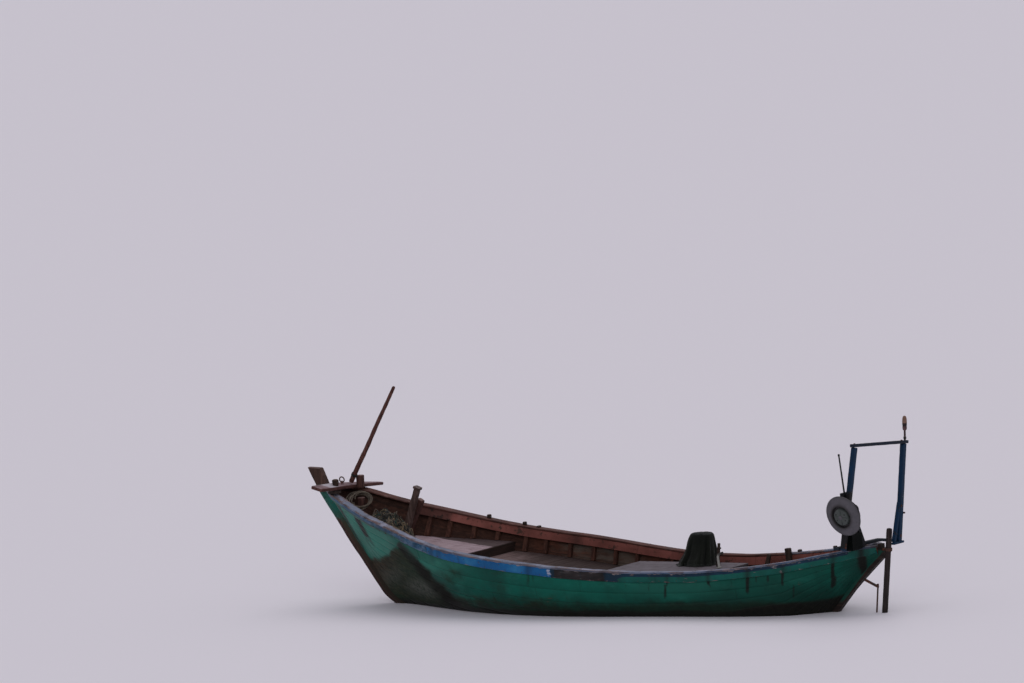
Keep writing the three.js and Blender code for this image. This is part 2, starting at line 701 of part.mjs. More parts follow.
// The base beam lies on both gunwale caps, lower to starboard, and the posts are bolted to its aft face.
const BASE_BEAM_X = FRAME_X + POST_DEEP / 2 + 0.0495;
{
  const across = (y, z) => [v(BASE_BEAM_X - 0.039, y, z - 0.02), v(BASE_BEAM_X - 0.039, y, z + 0.02), v(BASE_BEAM_X + 0.039, y, z + 0.02), v(BASE_BEAM_X + 0.039, y, z - 0.02)];
  add("frame_base_beam", loft([across(0.745, 0.934), across(-0.33, 0.903), across(-0.735, 0.835)]), 0x2a3f4a, 0.75);
}
add("frame_port_post", bar(onFrame(0.694, 0.905), onFrame(0.507, 2.224), POST_WIDE, POST_DEEP, [1, 0, 0]), PAINT_BLUE, 0.6);
add(
  "frame_starboard_post",
  join(
    bar(onFrame(-0.676, 0.83), onFrame(-0.707, 2.106), POST_WIDE, POST_DEEP, [1, 0, 0]),
    bar(onFrame(-0.555, 0.83), onFrame(-0.665, 1.36), 0.045, 0.05, [1, 0, 0], 0.05, 0.05),
    block(-4.0, -3.944, -0.755, -0.52, 0.808, 0.836),
  ),
  PAINT_BLUE,
  0.6,
);
add("frame_crossbar", bar(onFrame(0.575, 2.262), onFrame(-0.795, 2.125), 0.06, 0.04), 0x24465a, 0.6);
add(
  "frame_lamp",
  turned(onFrame(-0.745, 2.153), [-0.05, 0, 1], [[0, 0], [0, 0.014], [0.13, 0.014], [0.14, 0.028], [0.275, 0.031], [0.31, 0.022], [0.32, 0]], 14),
  0x4a3438,
  0.8,
);

// Net hauler on the port side of the frame. The sheave turns on an axis that points to port, a little down.
const SHEAVE_AT = [-4.104, 0.849, 1.384],
  SHEAVE_AXIS = [0.1166, 0.9635, -0.2427];
const axisN = new THREE.Vector3(...SHEAVE_AXIS).normalize();
const along = (d) => [
  SHEAVE_AT[0] + axisN.x * d,
  SHEAVE_AT[1] + axisN.y * d,
  SHEAVE_AT[2] + axisN.z * d,
];
// A wide outer flange, coned out to the hub, a narrow waist and a smaller inner flange: [along the axis, radius].
const SHEAVE_PROFILE = [
  [-0.122, 0],
  [-0.122, 0.06],
  [-0.112, 0.192],
  [-0.1, 0.196],
  [-0.072, 0.12],
  [-0.045, 0.112],
  [-0.012, 0.27],
  [0.0, 0.273],
  [0.01, 0.266],
  [0.05, 0.155],
  [0.046, 0.148],
  [0.018, 0.14],
  [0.018, 0.118],
  [0.055, 0.108],
  [0.062, 0.06],
  [0.062, 0],
];
add("hauler_sheave", turned(SHEAVE_AT, SHEAVE_AXIS, SHEAVE_PROFILE, 40), GREY_METAL, 0.45, 0.6);
// Bearing housing and motor in line behind the sheave, with a plate to the post.
const LEG_LOW = [-3.977, 0.2, 0.899],
  LEG_HIGH = [-3.985, 0.525, 1.545];
add(
  "hauler_motor",
  join(
    turned(along(-0.128), SHEAVE_AXIS, [[0, 0], [0, 0.045], [-0.05, 0.045], [-0.05, 0.058], [-0.135, 0.058], [-0.142, 0.04], [-0.142, 0]], 20),
    bar([-4.0715, 0.625, 1.43], [-4.14, 0.625, 1.43], 0.06, 0.14),
  ),
  0x1d2420,
  0.5,
  0.5,
);
add("hauler_leg", bar(LEG_LOW, LEG_HIGH, 0.06, 0.05, [1, 0, 0]), 0x22242c, 0.6, 0.4);
add(
  "hauler_lever",
  join(
    block(-4.012, -3.952, 0.5, 0.66, 1.562, 1.65),
    rod([-4.0, 0.62, 1.6], [-3.947, 0.62, 2.151], 0.012, 0.01, 8),
  ),
  0x1e1c22,
  0.6,
  0.4,
);
add("hauler_drive", block(-4.06, -3.942, 0.36, 0.6, 0.89, 1.1), 0x1c2b20, 0.6, 0.3);

// ---------- stern irons, shaft, propeller, rudder ----------
const STOCK_LOW = [-4.028, 0, -0.61],
  STOCK_HIGH = [-4.26, 0, 1.105];
const stockX = (z) =>
  STOCK_LOW[0] + ((STOCK_HIGH[0] - STOCK_LOW[0]) * (z - STOCK_LOW[2])) / (STOCK_HIGH[2] - STOCK_LOW[2]);
add("rudder_stock", rod(STOCK_LOW, STOCK_HIGH, 0.038, 0.039, 16), 0x4a2f2a, 0.85);
add(
  "rudder_blade",
  plateXZ(
    [
      [stockX(-0.585) - 0.0415, -0.585],
      [stockX(-0.1) - 0.0415, -0.1],
      [stockX(-0.1) - 0.26, -0.1],
      [stockX(-0.1) - 0.34, -0.2],
      [stockX(-0.585) - 0.34, -0.5],
      [stockX(-0.585) - 0.3, -0.585],
    ],
    0.04,
  ),
  0x3d2c26,
  0.85,
);
// Upper strap: an iron band round the stock, with its tail on the stern post's head.
const strapAt = [stockX(0.83), 0, 0.83];
const stockAxis = [STOCK_HIGH[0] - STOCK_LOW[0], 0, STOCK_HIGH[2] - STOCK_LOW[2]];
add(
  "rudder_strap",
  cut(
    join(
      rod([stockX(0.81), 0, 0.81], [stockX(0.85), 0, 0.85], 0.052, 0.052, 24),
      block(-4.1495 - 0.045, -4.1495, -0.03, 0.03, 0.815, 0.845),
    ),
    rod([stockX(0.6), 0, 0.6], [stockX(1.0), 0, 1.0], 0.0425, 0.0425, 24),
  ),
  IRON,
  0.6,
  0.6,
);
// Stern irons: an arm from the stern post, a rod down to the shaft's end bearing, and the heel bar that carries the rudder.
const BEARING_X = -3.955;
const bearing = (x0, x1, r) => rod(shaftPoint(x0), shaftPoint(x1), r, r, 20);
add(
  "stern_irons",
  cut(
    join(
      bar([-3.838, 0, 0.425], [-4.035, 0, 0.335], 0.03, 0.026),
      rod([-4.03, 0, 0.325], [-4.03, 0, 0.375], 0.014, 0.014, 8),
      rod([-4.028, 0, 0.335], [BEARING_X, 0, -0.27], 0.011, 0.011, 8),
      bearing(BEARING_X + 0.03, BEARING_X - 0.03, 0.036),
      rod([BEARING_X, 0, -0.33], [-3.94, 0, -0.625], 0.013, 0.013, 8),
      bar([-2.962, 0, -0.5237], [-4.09, 0, -0.64], 0.06, 0.026),
    ),
    bearing(BEARING_X + 0.05, BEARING_X - 0.05, 0.0195),
  ),
  IRON,
  0.75,
  0.5,
);
add(
  "stern_tube",
  cut(rod(shaftPoint(-3.105), shaftPoint(-3.4), 0.032, 0.032, 20), rod(shaftPoint(-3.0), shaftPoint(-3.5), 0.0195, 0.0195, 20)),
  0x6b5a35,
  0.5,
  0.7,
);
const PROP_X = -3.8;
add("propeller_shaft", rod(shaftPoint(-3.12), shaftPoint(-3.99), 0.0175, 0.0175, 16), 0x77757a, 0.4, 0.9);
const BLADES = 3,
  PROP_R = 0.165;
{
  const c = shaftPoint(PROP_X),
    axis = new THREE.Vector3(-1, 0, -SHAFT_DROP).normalize(),
    parts = [rod(shaftPoint(PROP_X + 0.045), shaftPoint(PROP_X - 0.045), 0.04, 0.034, 20)];
  for (let k = 0; k < BLADES; k++) {
    const turn = (k / BLADES) * 2 * Math.PI,
      radial = new THREE.Vector3(0, Math.cos(turn), Math.sin(turn));
    radial.addScaledVector(axis, -radial.dot(axis)).normalize();
    const across = new THREE.Vector3().crossVectors(axis, radial);
    const RINGS = [
      [0.025, 0.05, 48, 0.014],
      [0.07, 0.075, 38, 0.011],
      [0.12, 0.085, 28, 0.008],
      [0.155, 0.06, 23, 0.006],
      [PROP_R, 0.02, 21, 0.004],
    ]; // radius, chord, pitch angle in degrees, thickness
    parts.push(
      loft(
        RINGS.map(([r, chord, pitch, thick]) => {
          const a = (pitch * Math.PI) / 180,
            dir = across.clone().multiplyScalar(Math.cos(a)).addScaledVector(axis, Math.sin(a)),
            nor = new THREE.Vector3().crossVectors(dir, radial).normalize(),
            o = v(...c).addScaledVector(radial, r * MM);
          const at = (u, w) =>
            o
              .clone()
              .addScaledVector(dir, (u * chord * MM) / 2)
              .addScaledVector(nor, (w * thick * MM) / 2);
          return [at(-1, -0.3), at(0, -1), at(1, -0.3), at(1, 0.3), at(0, 1), at(-1, 0.3)];
        }),
      ),
    );
  }
  const bore = rod(shaftPoint(PROP_X + 0.08), shaftPoint(PROP_X - 0.08), 0.0182, 0.0182, 20);
  add("propeller", cut(join(...parts), bore), 0x8a6f38, 0.4, 0.85);
}

// Small posts on the starboard quarter.
add("quarter_bitt", bar([-2.35, -0.56, 0.459], [-2.33, -0.56, 0.735], 0.06, 0.06, [1, 0, 0], 0.07, 0.07), DARK_WOOD, 0.9);

export default boat;
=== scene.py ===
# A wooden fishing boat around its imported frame. Metres; +X to the bow, +Y to port, +Z up, origin at the waterline amidships.
import math
import random

import bpy
import bmesh
import numpy as np
from mathutils import Matrix, Vector, noise


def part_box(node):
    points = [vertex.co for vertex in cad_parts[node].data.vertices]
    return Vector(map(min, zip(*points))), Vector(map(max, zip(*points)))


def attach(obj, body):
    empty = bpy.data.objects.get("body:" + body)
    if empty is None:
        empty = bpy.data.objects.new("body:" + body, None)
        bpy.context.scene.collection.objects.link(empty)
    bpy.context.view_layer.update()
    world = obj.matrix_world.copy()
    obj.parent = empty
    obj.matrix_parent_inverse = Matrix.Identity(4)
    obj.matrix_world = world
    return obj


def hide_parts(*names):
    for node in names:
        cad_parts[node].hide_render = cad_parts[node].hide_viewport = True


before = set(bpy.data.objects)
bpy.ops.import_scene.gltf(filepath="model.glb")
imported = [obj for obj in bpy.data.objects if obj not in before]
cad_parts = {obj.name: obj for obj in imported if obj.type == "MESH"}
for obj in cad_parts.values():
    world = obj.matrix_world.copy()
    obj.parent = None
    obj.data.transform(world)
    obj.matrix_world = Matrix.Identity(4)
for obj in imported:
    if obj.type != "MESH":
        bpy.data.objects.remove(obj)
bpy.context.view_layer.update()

scene = bpy.context.scene
rng = random.Random(7)
BOAT = "boat"

# ============================================================ camera
RIGHT = Vector((-0.8412, -0.5370, -0.0640))
UP = Vector((0.0113, -0.1358, 0.9906))
BACK = Vector((-0.5407, 0.8326, 0.1203)).normalized()
UP = (UP - UP.dot(BACK) * BACK).normalized()
RIGHT = UP.cross(BACK).normalized()
METRES_PER_PIXEL = 0.013
AIM = RIGHT * -1.3745 + UP * 3.4652
FAR = 330.0
cam_data = bpy.data.cameras.new("camera")
cam_data.sensor_width = 36.0
cam_data.lens = 0.9966 * 36.0 * FAR / (1024 * METRES_PER_PIXEL)
cam_data.clip_start, cam_data.clip_end = 5.0, 1000.0
camera = bpy.data.objects.new("camera", cam_data)
scene.collection.objects.link(camera)
where = AIM + BACK * FAR
camera.matrix_world = Matrix(
    (
        (RIGHT.x, UP.x, BACK.x, where.x),
        (RIGHT.y, UP.y, BACK.y, where.y),
        (RIGHT.z, UP.z, BACK.z, where.z),
        (0, 0, 0, 1),
    )
)
scene.camera = camera


def place_in_view(p):
    """Columns x, y of the camera's frame where points (n, 3) lie; used to lay stains, painted shade and painted
    highlights where they belong on the hull.
    """
    p = np.asarray(p, float)
    return 619 + p @ np.array(RIGHT) / METRES_PER_PIXEL, 608 - p @ np.array(UP) / METRES_PER_PIXEL


# ============================================================ small numeric helpers
def smooth(a, b, x):
    t = np.clip((np.asarray(x, float) - a) / (b - a), 0, 1)
    return t * t * (3 - 2 * t)


def wob(x, seed, scale=1.0, octaves=3):
    """Smooth seeded waviness, about -1 to 1, of one coordinate."""
    r = np.random.RandomState(seed)
    x = np.asarray(x, float) * scale
    total, size = np.zeros_like(x), 0.0
    for k in range(octaves):
        for _ in range(3):
            total += 0.5**k * np.sin(x * (1.1 + r.rand()) * 2**k + r.rand() * 6.283)
        size += 0.5**k * 1.8
    return total / size


def wob2(x, y, seed, scale=1.0, octaves=4):
    """Smooth seeded waviness, about -1 to 1, of two coordinates."""
    r = np.random.RandomState(seed)
    total, size = np.zeros(np.broadcast(x, y).shape), 0.0
    for k in range(octaves):
        for _ in range(5):
            a = r.rand() * 6.283
            f = scale * 2**k * (0.7 + 0.6 * r.rand())
            total += 0.55**k * np.sin((np.cos(a) * x + np.sin(a) * y) * f + r.rand() * 6.283)
        size += 0.55**k * 2.2
    return total / size


def pchip(xk, yk, x):
    """Monotone cubic through (xk, yk)."""
    xk, yk, x = (np.asarray(v, float) for v in (xk, yk, x))
    h = np.diff(xk)
    d = np.diff(yk) / h
    m = np.zeros_like(yk)
    for i in range(1, len(xk) - 1):
        if d[i - 1] * d[i] > 0:
            w1, w2 = 2 * h[i] + h[i - 1], h[i] + 2 * h[i - 1]
            m[i] = (w1 + w2) / (w1 / d[i - 1] + w2 / d[i])
    m[0], m[-1] = d[0], d[-1]
    i = np.clip(np.searchsorted(xk, x, side="right") - 1, 0, len(xk) - 2)
    t = (x - xk[i]) / h[i]
    return (
        (2 * t**3 - 3 * t**2 + 1) * yk[i]
        + (t**3 - 2 * t**2 + t) * h[i] * m[i]
        + (-2 * t**3 + 3 * t**2) * yk[i + 1]
        + (t**3 - t**2) * h[i] * m[i + 1]
    )


def catmull(points, per=8):
    """A smooth line through points."""
    p = [np.array(q, float) for q in points]
    p = [2 * p[0] - p[1], *p, 2 * p[-1] - p[-2]]
    out = []
    for i in range(1, len(p) - 2):
        for k in range(per):
            t = k / per
            out.append(
                0.5
                * (
                    2 * p[i]
                    + (p[i + 1] - p[i - 1]) * t
                    + (2 * p[i - 1] - 5 * p[i] + 4 * p[i + 1] - p[i + 2]) * t**2
                    + (3 * p[i] - p[i - 1] - 3 * p[i + 1] + p[i + 2]) * t**3
                )
            )
    out.append(p[-2])
    return np.array(out)


def lin(r, g, b):
    """A colour given as 0 to 255 screen values, as linear values."""
    return tuple(((c / 255 + 0.055) / 1.055) ** 2.4 if c > 10 else c / 255 / 12.92 for c in (r, g, b)) + (1.0,)


# ============================================================ materials
class Mat:
    """A node material being put together; every texture runs on object coordinates in metres."""

    def __init__(s, name, rough=0.7, spec=0.35, metal=0.0):
        s.m = bpy.data.materials.new(name)
        s.m.use_nodes = True
        s.t = s.m.node_tree
        s.t.nodes.clear()
        out = s.t.nodes.new("ShaderNodeOutputMaterial")
        s.b = s.t.nodes.new("ShaderNodeBsdfPrincipled")
        s.t.links.new(s.b.outputs[0], out.inputs[0])
        s.b.inputs["Roughness"].default_value = rough
        s.b.inputs["Specular IOR Level"].default_value = spec
        s.b.inputs["Metallic"].default_value = metal
        s.obj = s.t.nodes.new("ShaderNodeTexCoord").outputs["Object"]
        s.normal = None

    def put(s, socket, value):
        if isinstance(value, bpy.types.NodeSocket):
            s.t.links.new(value, socket)
        else:
            socket.default_value = value

    def map(s, scale=(1, 1, 1), rot=(0, 0, 0), loc=(0, 0, 0), vec=None):
        n = s.t.nodes.new("ShaderNodeMapping")
        s.put(n.inputs["Vector"], vec or s.obj)
        n.inputs["Location"].default_value = loc
        n.inputs["Rotation"].default_value = rot
        n.inputs["Scale"].default_value = scale
        return n.outputs[0]

    def noise(s, scale, vec=None, detail=4.0, rough=0.55, dist=0.0):
        n = s.t.nodes.new("ShaderNodeTexNoise")
        s.put(n.inputs["Vector"], vec or s.obj)
        n.inputs["Scale"].default_value = scale
        n.inputs["Detail"].default_value = detail
        n.inputs["Roughness"].default_value = rough
        n.inputs["Distortion"].default_value = dist
        return n.outputs["Fac"]

    def voronoi(s, scale, vec=None, feature="F1"):
        n = s.t.nodes.new("ShaderNodeTexVoronoi")
        n.feature = feature
        s.put(n.inputs["Vector"], vec or s.obj)
        n.inputs["Scale"].default_value = scale
        return n.outputs["Distance"]

    def wave(s, scale, vec=None, direction="X", dist=0.0, detail=2.0, dscale=1.0, kind="BANDS"):
        n = s.t.nodes.new("ShaderNodeTexWave")
        n.wave_type = kind
        if kind == "BANDS":
            n.bands_direction = direction
        else:
            n.rings_direction = direction
        s.put(n.inputs["Vector"], vec or s.obj)
        n.inputs["Scale"].default_value = scale
        n.inputs["Distortion"].default_value = dist
        n.inputs["Detail"].default_value = detail
        n.inputs["Detail Scale"].default_value = dscale
        return n.outputs["Fac"]

    def ramp(s, fac, stops, interp="LINEAR"):
        n = s.t.nodes.new("ShaderNodeValToRGB")
        s.put(n.inputs["Fac"], fac)
        e = n.color_ramp.elements
        n.color_ramp.interpolation = interp
        while len(e) < len(stops):
            e.new(0.5)
        for el, (pos, c) in zip(e, stops):
            el.position = pos
            el.color = c if not isinstance(c, (int, float)) else (c, c, c, 1)
        return n.outputs["Color"]

    def step(s, fac, lo, hi):
        """0 below lo, 1 above hi."""
        n = s.t.nodes.new("ShaderNodeMapRange")
        n.interpolation_type = "SMOOTHSTEP"
        s.put(n.inputs["Value"], fac)
        n.inputs["From Min"].default_value = lo
        n.inputs["From Max"].default_value = hi
        return n.outputs["Result"]

    def mix(s, fac, a, b, kind="MIX"):
        n = s.t.nodes.new("ShaderNodeMix")
        n.data_type, n.blend_type = "RGBA", kind
        n.clamp_factor = True
        s.put(n.inputs[0], fac)
        s.put(n.inputs[6], a)
        s.put(n.inputs[7], b)
        return n.outputs[2]

    def math(s, op, a, b=0.0, clamp=False):
        n = s.t.nodes.new("ShaderNodeMath")
        n.operation, n.use_clamp = op, clamp
        s.put(n.inputs[0], a)
        s.put(n.inputs[1], b)
        return n.outputs[0]

    def attr(s, name):
        n = s.t.nodes.new("ShaderNodeAttribute")
        n.attribute_name = name
        return n.outputs["Fac"]

    def axes(s, vec=None):
        n = s.t.nodes.new("ShaderNodeSeparateXYZ")
        s.put(n.inputs[0], vec or s.obj)
        return n.outputs[0], n.outputs[1], n.outputs[2]

    def facing(s):
        """How far the true surface normal points up, -1 to 1."""
        n = s.t.nodes.new("ShaderNodeNewGeometry")
        return s.axes(n.outputs["Normal"])[2]

    def colour(s, c):
        s.put(s.b.inputs["Base Color"], c)

    def rough(s, c):
        s.put(s.b.inputs["Roughness"], c)

    def bump(s, height, distance, strength=1.0):
        n = s.t.nodes.new("ShaderNodeBump")
        n.inputs["Strength"].default_value = strength
        n.inputs["Distance"].default_value = distance
        s.put(n.inputs["Height"], height)
        if s.normal is not None:
            s.t.links.new(s.normal, n.inputs["Normal"])
        s.normal = n.outputs[0]
        return s

    def done(s):
        if s.normal is not None:
            s.t.links.new(s.normal, s.b.inputs["Normal"])
        return s.m


ALONG = {"x": (2.0, 26, 26), "y": (26, 2.0, 26), "z": (26, 26, 2.0)}


def grain(m, axis, k=1.0, dist=0.35):
    """Long fibres, and thin drying cracks, both 0 to 1."""
    sc = tuple(c * k for c in ALONG[axis])
    fibre = m.noise(1.0, m.map(sc), 6, 0.62, dist)
    thin = m.noise(1.0, m.map(tuple(c * 3.4 for c in sc), loc=(3, 1, 7)), 3, 0.5, 0.1)
    long = tuple(c * (0.35 if c < 10 * k else 1.9) for c in sc)
    crack = m.math("SUBTRACT", 1.0, m.step(m.noise(1.0, m.map(long, loc=(9, 4, 2)), 5, 0.7, 0.2), 0.29, 0.37))
    return fibre, thin, crack


def wood(name, axis, dark, mid, light, grey=None, grey_at=0.56, rough=0.78, k=1.0, bump=0.0025, top=None, stain=None, also=None):
    """Bare wood. grey: weathered colour in patches; top: paler colour on faces that look up, a painted sky highlight in
    patches; stain: (colour, threshold).
    """
    m = Mat(name, rough, 0.25)
    fibre, thin, crack = grain(m, axis, k)
    c = m.ramp(fibre, [(0.28, dark), (0.5, mid), (0.72, light)])
    tone = m.attr("tone")
    c = m.mix(m.math("MULTIPLY", tone, 0.45), c, dark)
    if grey:
        patch = m.step(m.noise(2.6, detail=6, rough=0.65), grey_at, grey_at + 0.16)
        c = m.mix(m.math("MULTIPLY", patch, 0.75), c, grey)
    # painted highlight: faces that look up are paler in patches, as if lit by the sky
    if top:
        up = m.step(m.facing(), 0.35, 0.85)
        worn = m.step(m.noise(9.0, detail=5), 0.28, 0.6)
        c = m.mix(m.math("MULTIPLY", up, m.math("ADD", 0.35, m.math("MULTIPLY", worn, 0.6))), c, top)
    if stain:
        spots = m.step(m.noise(5.5, m.map(loc=(4, 8, 1)), 6, 0.7), stain[1], stain[1] + 0.14)
        c = m.mix(m.math("MULTIPLY", spots, 0.7), c, stain[0])
    c = m.mix(m.math("MULTIPLY", thin, 0.35), c, dark, "MULTIPLY")
    c = m.mix(m.math("MULTIPLY", crack, 0.75), c, tuple(v * 0.25 for v in dark[:3]) + (1,))
    if also:
        c = also(m, c)
    c = m.mix(m.attr("dirt"), c, lin(26, 19, 16))
    m.colour(c)
    m.rough(m.ramp(fibre, [(0.2, rough + 0.12), (0.8, rough - 0.1)]))
    m.bump(fibre, bump).bump(thin, bump * 0.35).bump(m.math("SUBTRACT", 1.0, crack), bump * 0.9)
    return m.done()


def painted(name, axis, base, second, chip, worn, rough=0.5, chips=0.62, dirt=lin(24, 20, 17), k=1.0, rub=0.0, spec=0.22):
    """Old paint on wood or metal: two tones of paint, chips down to "chip", rubbed "worn" tone on faces that look up."""
    m = Mat(name, rough, spec)
    fibre, thin, crack = grain(m, axis, k)
    cloud = m.noise(1.9, detail=5, rough=0.6)
    c = m.mix(m.step(cloud, 0.36, 0.66), base, second)
    c = m.mix(m.math("MULTIPLY", m.step(fibre, 0.5, 0.8), 0.3), c, tuple(v * 0.55 for v in base[:3]) + (1,))
    rubbed = m.math("MULTIPLY", m.step(m.facing(), 0.3, 0.9), m.step(m.noise(6.0, detail=6), 0.5 - rub, 0.72 - rub))
    c = m.mix(rubbed, c, worn)
    off = m.step(m.noise(11.0, m.map(loc=(2, 5, 9)), 8, 0.68), chips, chips + 0.05)
    c = m.mix(off, c, chip)
    drip = m.step(m.noise(1.0, m.map((16, 16, 1.6), loc=(1, 1, 4)), 4, 0.6), 0.58, 0.76)
    c = m.mix(m.math("MULTIPLY", drip, 0.55), c, dirt)
    c = m.mix(m.attr("dirt"), c, dirt)
    m.colour(c)
    m.rough(m.mix(off, m.ramp(cloud, [(0.3, rough - 0.06), (0.7, rough + 0.14)]), (0.88, 0.88, 0.88, 1)))
    m.bump(fibre, 0.0012).bump(m.math("SUBTRACT", 1.0, off), 0.0009).bump(m.math("SUBTRACT", 1.0, crack), 0.0009)
    return m.done()


def rusty(name, dark, rust, rough=0.72, metal=0.35):
    m = Mat(name, rough, 0.4, 0.0)
    a = m.noise(14.0, detail=8, rough=0.7)
    b = m.noise(60.0, detail=4)
    c = m.ramp(a, [(0.34, dark), (0.52, tuple(x * 0.5 + y * 0.5 for x, y in zip(dark, rust))), (0.66, rust)])
    c = m.mix(m.math("MULTIPLY", m.step(b, 0.5, 0.75), 0.5), c, dark)
    m.colour(c)
    m.rough(m.ramp(a, [(0.3, rough - 0.2), (0.7, rough + 0.2)]))
    m.bump(a, 0.0016).bump(b, 0.0007)
    return m.done()


# ------------------------------------------------------------ colours of the parts
TEAL, TEAL_DEEP, MINT = lin(2, 97, 81), lin(0, 68, 57), lin(60, 143, 124)


def hull_material():
    m = Mat("hull_paint_worn", 0.5, 0.16)
    fibre, thin, crack = grain(m, "x", 0.8, 0.5)
    cloud = m.noise(1.3, detail=6, rough=0.62)
    c = m.mix(m.step(cloud, 0.34, 0.68), TEAL_DEEP, TEAL)
    c = m.mix(m.math("MULTIPLY", m.attr("tone"), 0.5), c, TEAL_DEEP)
    # chalky lighter places, and paler places from the light attribute, which at the stern's top is a painted highlight
    chalk = m.step(m.noise(3.1, m.map((0.7, 1, 1.6), loc=(5, 2, 2)), 7, 0.7), 0.5, 0.74)
    c = m.mix(m.math("MULTIPLY", m.math("ADD", m.math("MULTIPLY", chalk, 0.25), m.attr("light")), 0.8, True), c, MINT)
    # painted shade from the deep attribute: darker aft, low on the hull, and at the quarter under the frame's beam
    c = m.mix(m.attr("deep"), c, lin(1, 44, 35))
    c = m.mix(m.attr("blue"), c, lin(18, 76, 92))
    # fine rub marks along the planks
    rub = m.step(m.noise(1.0, m.map((1.3, 34, 34), loc=(2, 2, 2)), 5, 0.7, 0.3), 0.55, 0.75)
    c = m.mix(m.math("MULTIPLY", rub, 0.35), c, lin(28, 84, 70))
    # grime: olive brown, blotchy
    blotch = m.noise(4.2, m.map((1, 1, 1.3), loc=(8, 3, 1)), 8, 0.7)
    fine = m.noise(23.0, detail=5, rough=0.7)
    g = m.attr("grime")
    amount = m.step(m.math("ADD", g, m.math("MULTIPLY", m.math("SUBTRACT", blotch, 0.5), 1.5)), 0.12, 0.86)
    amount = m.math("MULTIPLY", amount, m.step(g, 0.0, 0.4))
    c = m.mix(m.math("MULTIPLY", amount, 0.86), c, m.ramp(m.math("ADD", m.math("MULTIPLY", fine, 0.5), m.math("MULTIPLY", fibre, 0.5)), [(0.3, lin(20, 19, 11)), (0.52, lin(40, 38, 23)), (0.72, lin(72, 66, 46))]))
    c = m.mix(m.math("MULTIPLY", m.math("MULTIPLY", amount, m.attr("brown")), 0.75), c, m.ramp(fibre, [(0.35, lin(34, 23, 16)), (0.65, lin(72, 53, 38))]))
    # painted sheen: a paler, sky-tinted glint on the grime at the bow
    c = m.mix(m.math("MULTIPLY", m.attr("painted_sheen"), m.step(m.math("ADD", fine, m.math("MULTIPLY", blotch, 0.6)), 0.5, 0.95)), c, lin(104, 106, 100))
    # green weed and black slime near the water
    weed = m.attr("weed")
    wet = m.step(m.math("ADD", weed, m.math("MULTIPLY", m.math("SUBTRACT", blotch, 0.5), 0.7)), 0.2, 0.8)
    c = m.mix(m.math("MULTIPLY", wet, 0.82), c, m.ramp(fine, [(0.3, lin(9, 15, 7)), (0.7, lin(22, 34, 18))]))
    slime = m.step(m.math("ADD", m.attr("slime"), m.math("MULTIPLY", m.math("SUBTRACT", blotch, 0.5), 0.6)), 0.3, 0.85)
    c = m.mix(m.math("MULTIPLY", slime, 0.92), c, m.ramp(fine, [(0.35, lin(8, 8, 5)), (0.7, lin(25, 22, 16))]))
    # below the water the growth is paler and more varied than along the line
    x, y, z = m.axes()
    below = m.step(m.math("MULTIPLY", m.math("ADD", z, m.math("MULTIPLY", m.math("SUBTRACT", blotch, 0.5), 0.12)), -1.0), 0.04, 0.16)
    c = m.mix(m.math("MULTIPLY", below, 0.85), c, m.ramp(m.math("ADD", m.math("MULTIPLY", fine, 0.45), m.math("MULTIPLY", blotch, 0.55)), [(0.32, lin(30, 36, 24)), (0.48, lin(58, 54, 40)), (0.6, lin(84, 72, 56)), (0.72, lin(62, 74, 50))]))
    # dark drips from the rail
    drip = m.attr("drip")
    ragged = m.step(m.math("ADD", drip, m.math("MULTIPLY", m.math("SUBTRACT", m.noise(1.0, m.map((60, 60, 9)), 5, 0.7), 0.5), 0.7)), 0.25, 0.8)
    c = m.mix(m.math("MULTIPLY", ragged, m.math("MINIMUM", m.math("MULTIPLY", drip, 3.0), 0.93)), c, m.ramp(fine, [(0.3, lin(6, 10, 7)), (0.7, lin(17, 19, 13))]))
    # faint short runs everywhere
    runs = m.step(m.noise(1.0, m.map((13, 13, 1.1), loc=(6, 6, 1)), 5, 0.66), 0.6, 0.78)
    c = m.mix(m.math("MULTIPLY", runs, 0.4), c, lin(16, 40, 32))
    # paint knocked off down to bare wood
    off = m.step(m.noise(7.0, m.map((0.6, 1, 1.7), loc=(1, 7, 3)), 9, 0.72), 0.665, 0.69)
    off = m.math("MULTIPLY", off, m.step(m.noise(0.9, detail=2), 0.45, 0.6))
    c = m.mix(m.math("MULTIPLY", off, 0.85), c, m.ramp(fibre, [(0.3, lin(48, 34, 26)), (0.7, lin(92, 74, 58))]))
    # seams
    seam = m.attr("seam")
    c = m.mix(m.math("MULTIPLY", seam, 0.5), c, lin(6, 22, 18))
    m.colour(c)
    m.rough(m.mix(wet, m.mix(amount, m.ramp(cloud, [(0.3, 0.4), (0.7, 0.6)]), (0.82, 0.82, 0.82, 1)), (0.42, 0.42, 0.42, 1)))
    m.bump(fibre, 0.0014).bump(m.math("SUBTRACT", 1.0, off), 0.0008).bump(crack, -0.0006).bump(m.noise(2.4, m.map((0.5, 1, 1)), 3), 0.006, 0.6)
    return m.done()


